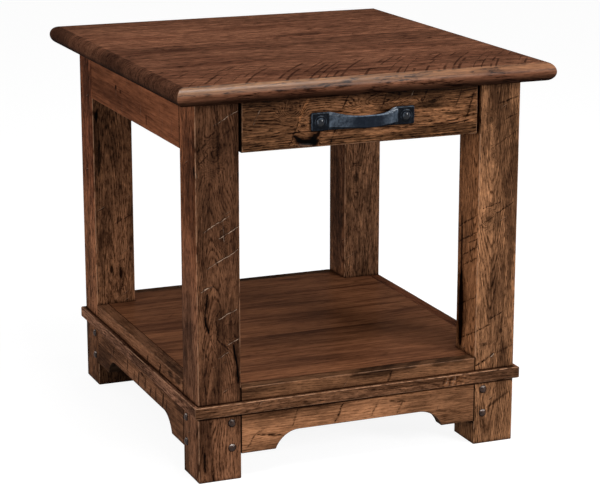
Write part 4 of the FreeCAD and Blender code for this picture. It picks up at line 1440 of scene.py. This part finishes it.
def iron_material(name, coat):
    """Blued black iron with a hammered skin. Edges, bends and upper bevels are greyer, as worn iron and as
    painted reflections, with painted glints on the right bend, painted shade below and in corners, and feet
    painted darker as a dark reflection.
    """
    material, web, shader = new_material(name)
    place, facing = web.coordinates()
    scale = web.noise(place, (190, 190, 190), 4.0, 0.6)
    speck = web.noise(place, (1500, 1500, 1500))
    along = web.split(place)[0]
    turned = web.split(facing)
    upper = turned[2]
    on_foot = web.step(abs(along), 50.5 * MM, 52 * MM)
    # Bends greyer as a painted reflection, partly worn iron
    bend = web.step(abs(along), 14 * MM, 46 * MM) * (1.0 - on_foot)
    # Foot rims and upper bevels greyer as painted highlights, partly worn iron
    rim = web.step(abs(turned[0]), 0.3, 0.6) * on_foot
    bevel = web.step(upper, 0.25, 0.6)
    edges = web.largest([bevel * web.step(on_foot, 0.0, 1.0, 0.8, 0.5), rim * 0.45])
    rubbed = web.largest([bend * 0.55, edges])
    rubbed = rubbed * web.step(scale, 0.3, 0.7, 0.2, 1.0)
    # Painted glints on the upper bevel of the right bend
    streak = web.noise(place, (60, 500, 500))
    right = web.step(along, 0.02, 0.035, 0.25, 1.0)
    bright = bend * bevel * (web.step(streak, 0.42, 0.56) * right)
    # Less on faces that look down, as the painted highlight fades there
    rubbed = rubbed * web.step(upper, -0.3, 0.0, 0.35, 1.0)
    # Feet darker as a painted dark reflection
    dark = web.mix(on_foot, (0.006, 0.009, 0.015), (0.0025, 0.0035, 0.006))
    colour = web.mix(web.step(scale, 0.4, 0.8, 0.0, 0.4), dark, (0.025, 0.033, 0.045))
    colour = web.mix(rubbed, colour, (0.17, 0.215, 0.275))
    colour = web.mix(bright, colour, (0.55, 0.6, 0.66))
    # Painted shade on faces that look down
    colour = web.shade(colour, web.step(upper, -0.1, -0.5), 0.3)
    # Painted shade in corners
    corner = web.corners(5 * MM, samples=8)
    colour = web.shade(colour, web.step(corner, 0.8, 0.35, 0.0, 0.9), 0.2)
    roughness = web.step(scale, 0.3, 0.7, 0.5, 0.36)
    bump = web.bump(scale * 0.8 + speck * 0.25, 0.4, 0.35 * MM)
    connect(web, shader, Base_Color=colour, Roughness=roughness, Normal=bump, Specular_IOR_Level=0.0)
    connect(web, shader, Coat_Weight=coat, Coat_Roughness=0.2)
    return material


def strap_front(x, half_length, rise):
    """How far the strap's front stands from the drawer at x: a bend at each foot and an arch between."""
    turn = 2 * math.atan(rise / half_length)
    arch_radius = half_length / math.sin(turn) - PULL_BEND_RADIUS
    join = half_length - PULL_BEND_RADIUS * math.sin(turn)
    if abs(x) < join:
        arch_centre = arch_radius - rise - PULL_STRAP
        return math.sqrt(arch_radius ** 2 - x ** 2) - arch_centre
    from_foot = half_length - abs(x)
    return PULL_STRAP + PULL_BEND_RADIUS - math.sqrt(PULL_BEND_RADIUS ** 2 - max(from_foot, 0) ** 2)


def strap_half_height(x, half_length):
    """Half the strap's height at x: level at the waist, then a round flare to the foot."""
    run = half_length - PULL_WAIST_LEVEL
    drop = PULL_FOOT / 2 - PULL_WAIST_HALF
    radius = (run ** 2 + drop ** 2) / (2 * drop)
    out = min(max(abs(x) - PULL_WAIST_LEVEL, 0), run)
    return PULL_WAIST_HALF + radius - math.sqrt(radius ** 2 - out ** 2)


def add_strap(shape, centre, face, half_length, rise):
    """The bar between the feet, with forged bevels that widen towards each foot."""
    step = 0.2 * MM
    rows = []
    for index in range(PULL_STATIONS):
        x = (half_length + PULL_OVERLAP) * (2 * index / (PULL_STATIONS - 1) - 1)
        inside = max(-half_length, min(half_length, x))
        ahead = strap_front(min(inside + step, half_length), half_length, rise)
        behind = strap_front(max(inside - step, -half_length), half_length, rise)
        slope = (ahead - behind) / (2 * step)
        outward = Vector((-slope, -1, 0)).normalized()
        front = Vector((centre.x + x, face - strap_front(inside, half_length, rise), centre.z))
        half = strap_half_height(inside, half_length)
        near_foot = (abs(inside) / half_length) ** 1.5
        bevel = (1.1 + 3.4 * near_foot) * MM
        bevel_depth = (0.9 + 1.3 * near_foot) * MM
        section = [
            (0, half - bevel), (bevel_depth, half), (PULL_STRAP - 0.5 * MM, half),
            (PULL_STRAP, half - 0.5 * MM),
        ]
        ring = [front - outward * depth + Z_AXIS * z for depth, z in section]
        ring += [front - outward * depth - Z_AXIS * z for depth, z in reversed(section)]
        rows.append([shape.verts.new(point) for point in ring])
    for low, high in zip(rows[:-1], rows[1:]):
        for index in range(len(low)):
            shape.faces.new((low[index - 1], high[index - 1], high[index], low[index]))
    shape.faces.new(rows[0])
    shape.faces.new(list(reversed(rows[-1])))


def add_foot(shape, centre, face):
    """A square foot with rounded corners, bevelled edges and a round boss."""
    half = PULL_FOOT / 2
    steps = [(half, 0), (half, PULL_STRAP - MM), (half - MM, PULL_STRAP)]
    rows = []
    for size, out in steps:
        row = []
        for index in range(4 * PULL_CORNER_STEPS):
            quarter, step = divmod(index, PULL_CORNER_STEPS)
            turn = math.radians(90) * (quarter + step / (PULL_CORNER_STEPS - 1))
            a, b = [(1, 1), (-1, 1), (-1, -1), (1, -1)][quarter]
            inner = size - PULL_CORNER
            x = inner * a + PULL_CORNER * math.cos(turn)
            z = inner * b + PULL_CORNER * math.sin(turn)
            row.append(shape.verts.new((centre.x + x, face - out, centre.z + z)))
        rows.append(row)
    join_rings(shape, rows)
    boss = [(8.4 * MM, MM), (8.4 * MM, PULL_STRAP + 0.4 * MM), (7.8 * MM, PULL_STRAP + 0.8 * MM)]
    seat = Vector((centre.x, face, centre.z))
    lathe(shape, boss, 40, turned_to(seat, Vector((0, -1, 0))))


def one_skin(shape):
    """The parts of a bmesh joined in one skin, softened."""
    parts = bpy.data.meshes.new("pull_parts")
    shape.to_mesh(parts)
    shape.free()
    draft = placed("pull_draft", parts)
    joining = draft.modifiers.new("one_skin", "REMESH")
    joining.mode = "VOXEL"
    joining.voxel_size = PULL_VOXEL
    softening = draft.modifiers.new("softened", "SMOOTH")
    softening.factor = 0.5
    softening.iterations = 8
    graph = bpy.context.evaluated_depsgraph_get()
    skin = bpy.data.meshes.new_from_object(draft.evaluated_get(graph))
    bpy.data.objects.remove(draft)
    joined = bmesh.new()
    joined.from_mesh(skin)
    return joined


def make_pull():
    """One forged piece of a strap and two feet, hammered, and its screws."""
    iron = iron_material("forged_iron", 0.1)
    low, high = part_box("drawer_pull")
    centre = (low + high) / 2
    half_length = (high.x - low.x) / 2 - PULL_FOOT
    rise = high.y - low.y - PULL_STRAP
    shape = bmesh.new()
    add_strap(shape, centre, high.y, half_length, rise)
    for side in (-1, 1):
        foot = Vector((centre.x + side * (half_length + PULL_FOOT / 2), centre.y, centre.z))
        add_foot(shape, foot, high.y)
    bmesh.ops.recalc_face_normals(shape, faces=shape.faces[:])
    shape = one_skin(shape)
    hammer(shape, high.y)
    finished(shape, "drawer_pull_forged", iron, "drawer_pull", smooth=math.radians(180))
    make_pull_screws(iron_material("screw_iron", 0.45))


def hammer(shape, back):
    """Shallow round dents all over, and none on the flat back."""
    shape.normal_update()
    for vertex in shape.verts:
        if back - vertex.co.y < MM:
            continue
        distances = noise.voronoi(vertex.co * DENT_RATE)[0]
        dent = max(0.0, 0.75 - distances[0]) * DENT_DEPTH
        vertex.co -= vertex.normal * dent


def make_pull_screws(iron):
    """Two domed screws in the feet."""
    shape = bmesh.new()
    for crown, direction, length, radius, shank in pin_places("drawer_pull_screws"):
        profile = crown_profile(radius, radius, 0.85 * PULL_SCREW_HEAD, math.radians(80), steps=9)
        profile += [(0.99 * radius, PULL_SCREW_HEAD), (shank, PULL_SCREW_HEAD), (shank, length)]
        lathe(shape, profile, 36, turned_to(crown, direction), rough=0.14 * MM)
    finished(shape, "drawer_pull_screws_forged", iron, "drawer_pull_screws", smooth=ROUND_SMOOTH)


# Stage

def seen_directly(web):
    """1 for camera, mirror and glass rays, which see the white ground and surroundings."""
    path = web.tree.nodes.new("ShaderNodeLightPath")
    labels = ("Is Camera Ray", "Is Glossy Ray", "Is Transmission Ray")
    return web.largest([Result(web, path.outputs[label]) for label in labels])


def make_floor():
    mesh = bpy.data.meshes.new("floor")
    half = FLOOR_SIZE / 2
    corners = [(-half, -half, 0), (half, -half, 0), (half, half, 0), (-half, half, 0)]
    mesh.from_pydata(corners, [], [(0, 1, 2, 3)])
    floor = placed("floor", mesh)
    material = bpy.data.materials.new("floor")
    web = emptied(material)
    diffuse = web.node("BsdfDiffuse", {"Color": rgba(FLOOR_COLOUR)})
    glow = web.node("Emission", {"Strength": seen_directly(web) * FLOOR_GLOW})
    web.end("OutputMaterial", web.node("AddShader", {0: diffuse, 1: glow}))
    mesh.materials.append(material)


def make_world():
    world = bpy.data.worlds.new("studio")
    web = emptied(world)
    strength = seen_directly(web) * (1 - AMBIENT) + AMBIENT
    web.end("OutputWorld", web.node("Background", {"Strength": strength}))
    bpy.context.scene.world = world


def softbox(name, place, aim, size, power):
    light = bpy.data.lights.new(name, "AREA")
    light.shape = "RECTANGLE"
    light.size, light.size_y = size
    light.energy = power
    lamp = placed(name, light)
    lamp.location = place
    lamp.rotation_euler = (Vector(aim) - Vector(place)).to_track_quat("-Z", "Y").to_euler()


def make_lights():
    for name, (place, aim, size, power) in LIGHTS.items():
        softbox(name, place, aim, size, power)


def make_camera():
    data = bpy.data.cameras.new("camera")
    data.lens = CAMERA_LENS
    data.sensor_width = CAMERA_SENSOR
    camera = placed("camera", data)
    camera.location = CAMERA_PLACE
    camera.rotation_euler = (math.radians(90) - CAMERA_TILT, 0, -CAMERA_TURN)
    bpy.context.scene.camera = camera


make_camera()
make_floor()
make_world()
make_lights()
make_top()
make_shelf()
make_legs()
make_aprons()
make_rails_and_bands()
make_drawer_front()
make_pegs()
make_inner_wood()
make_steel_parts()
make_pull()

bpy.context.scene.view_settings.view_transform = "Standard"
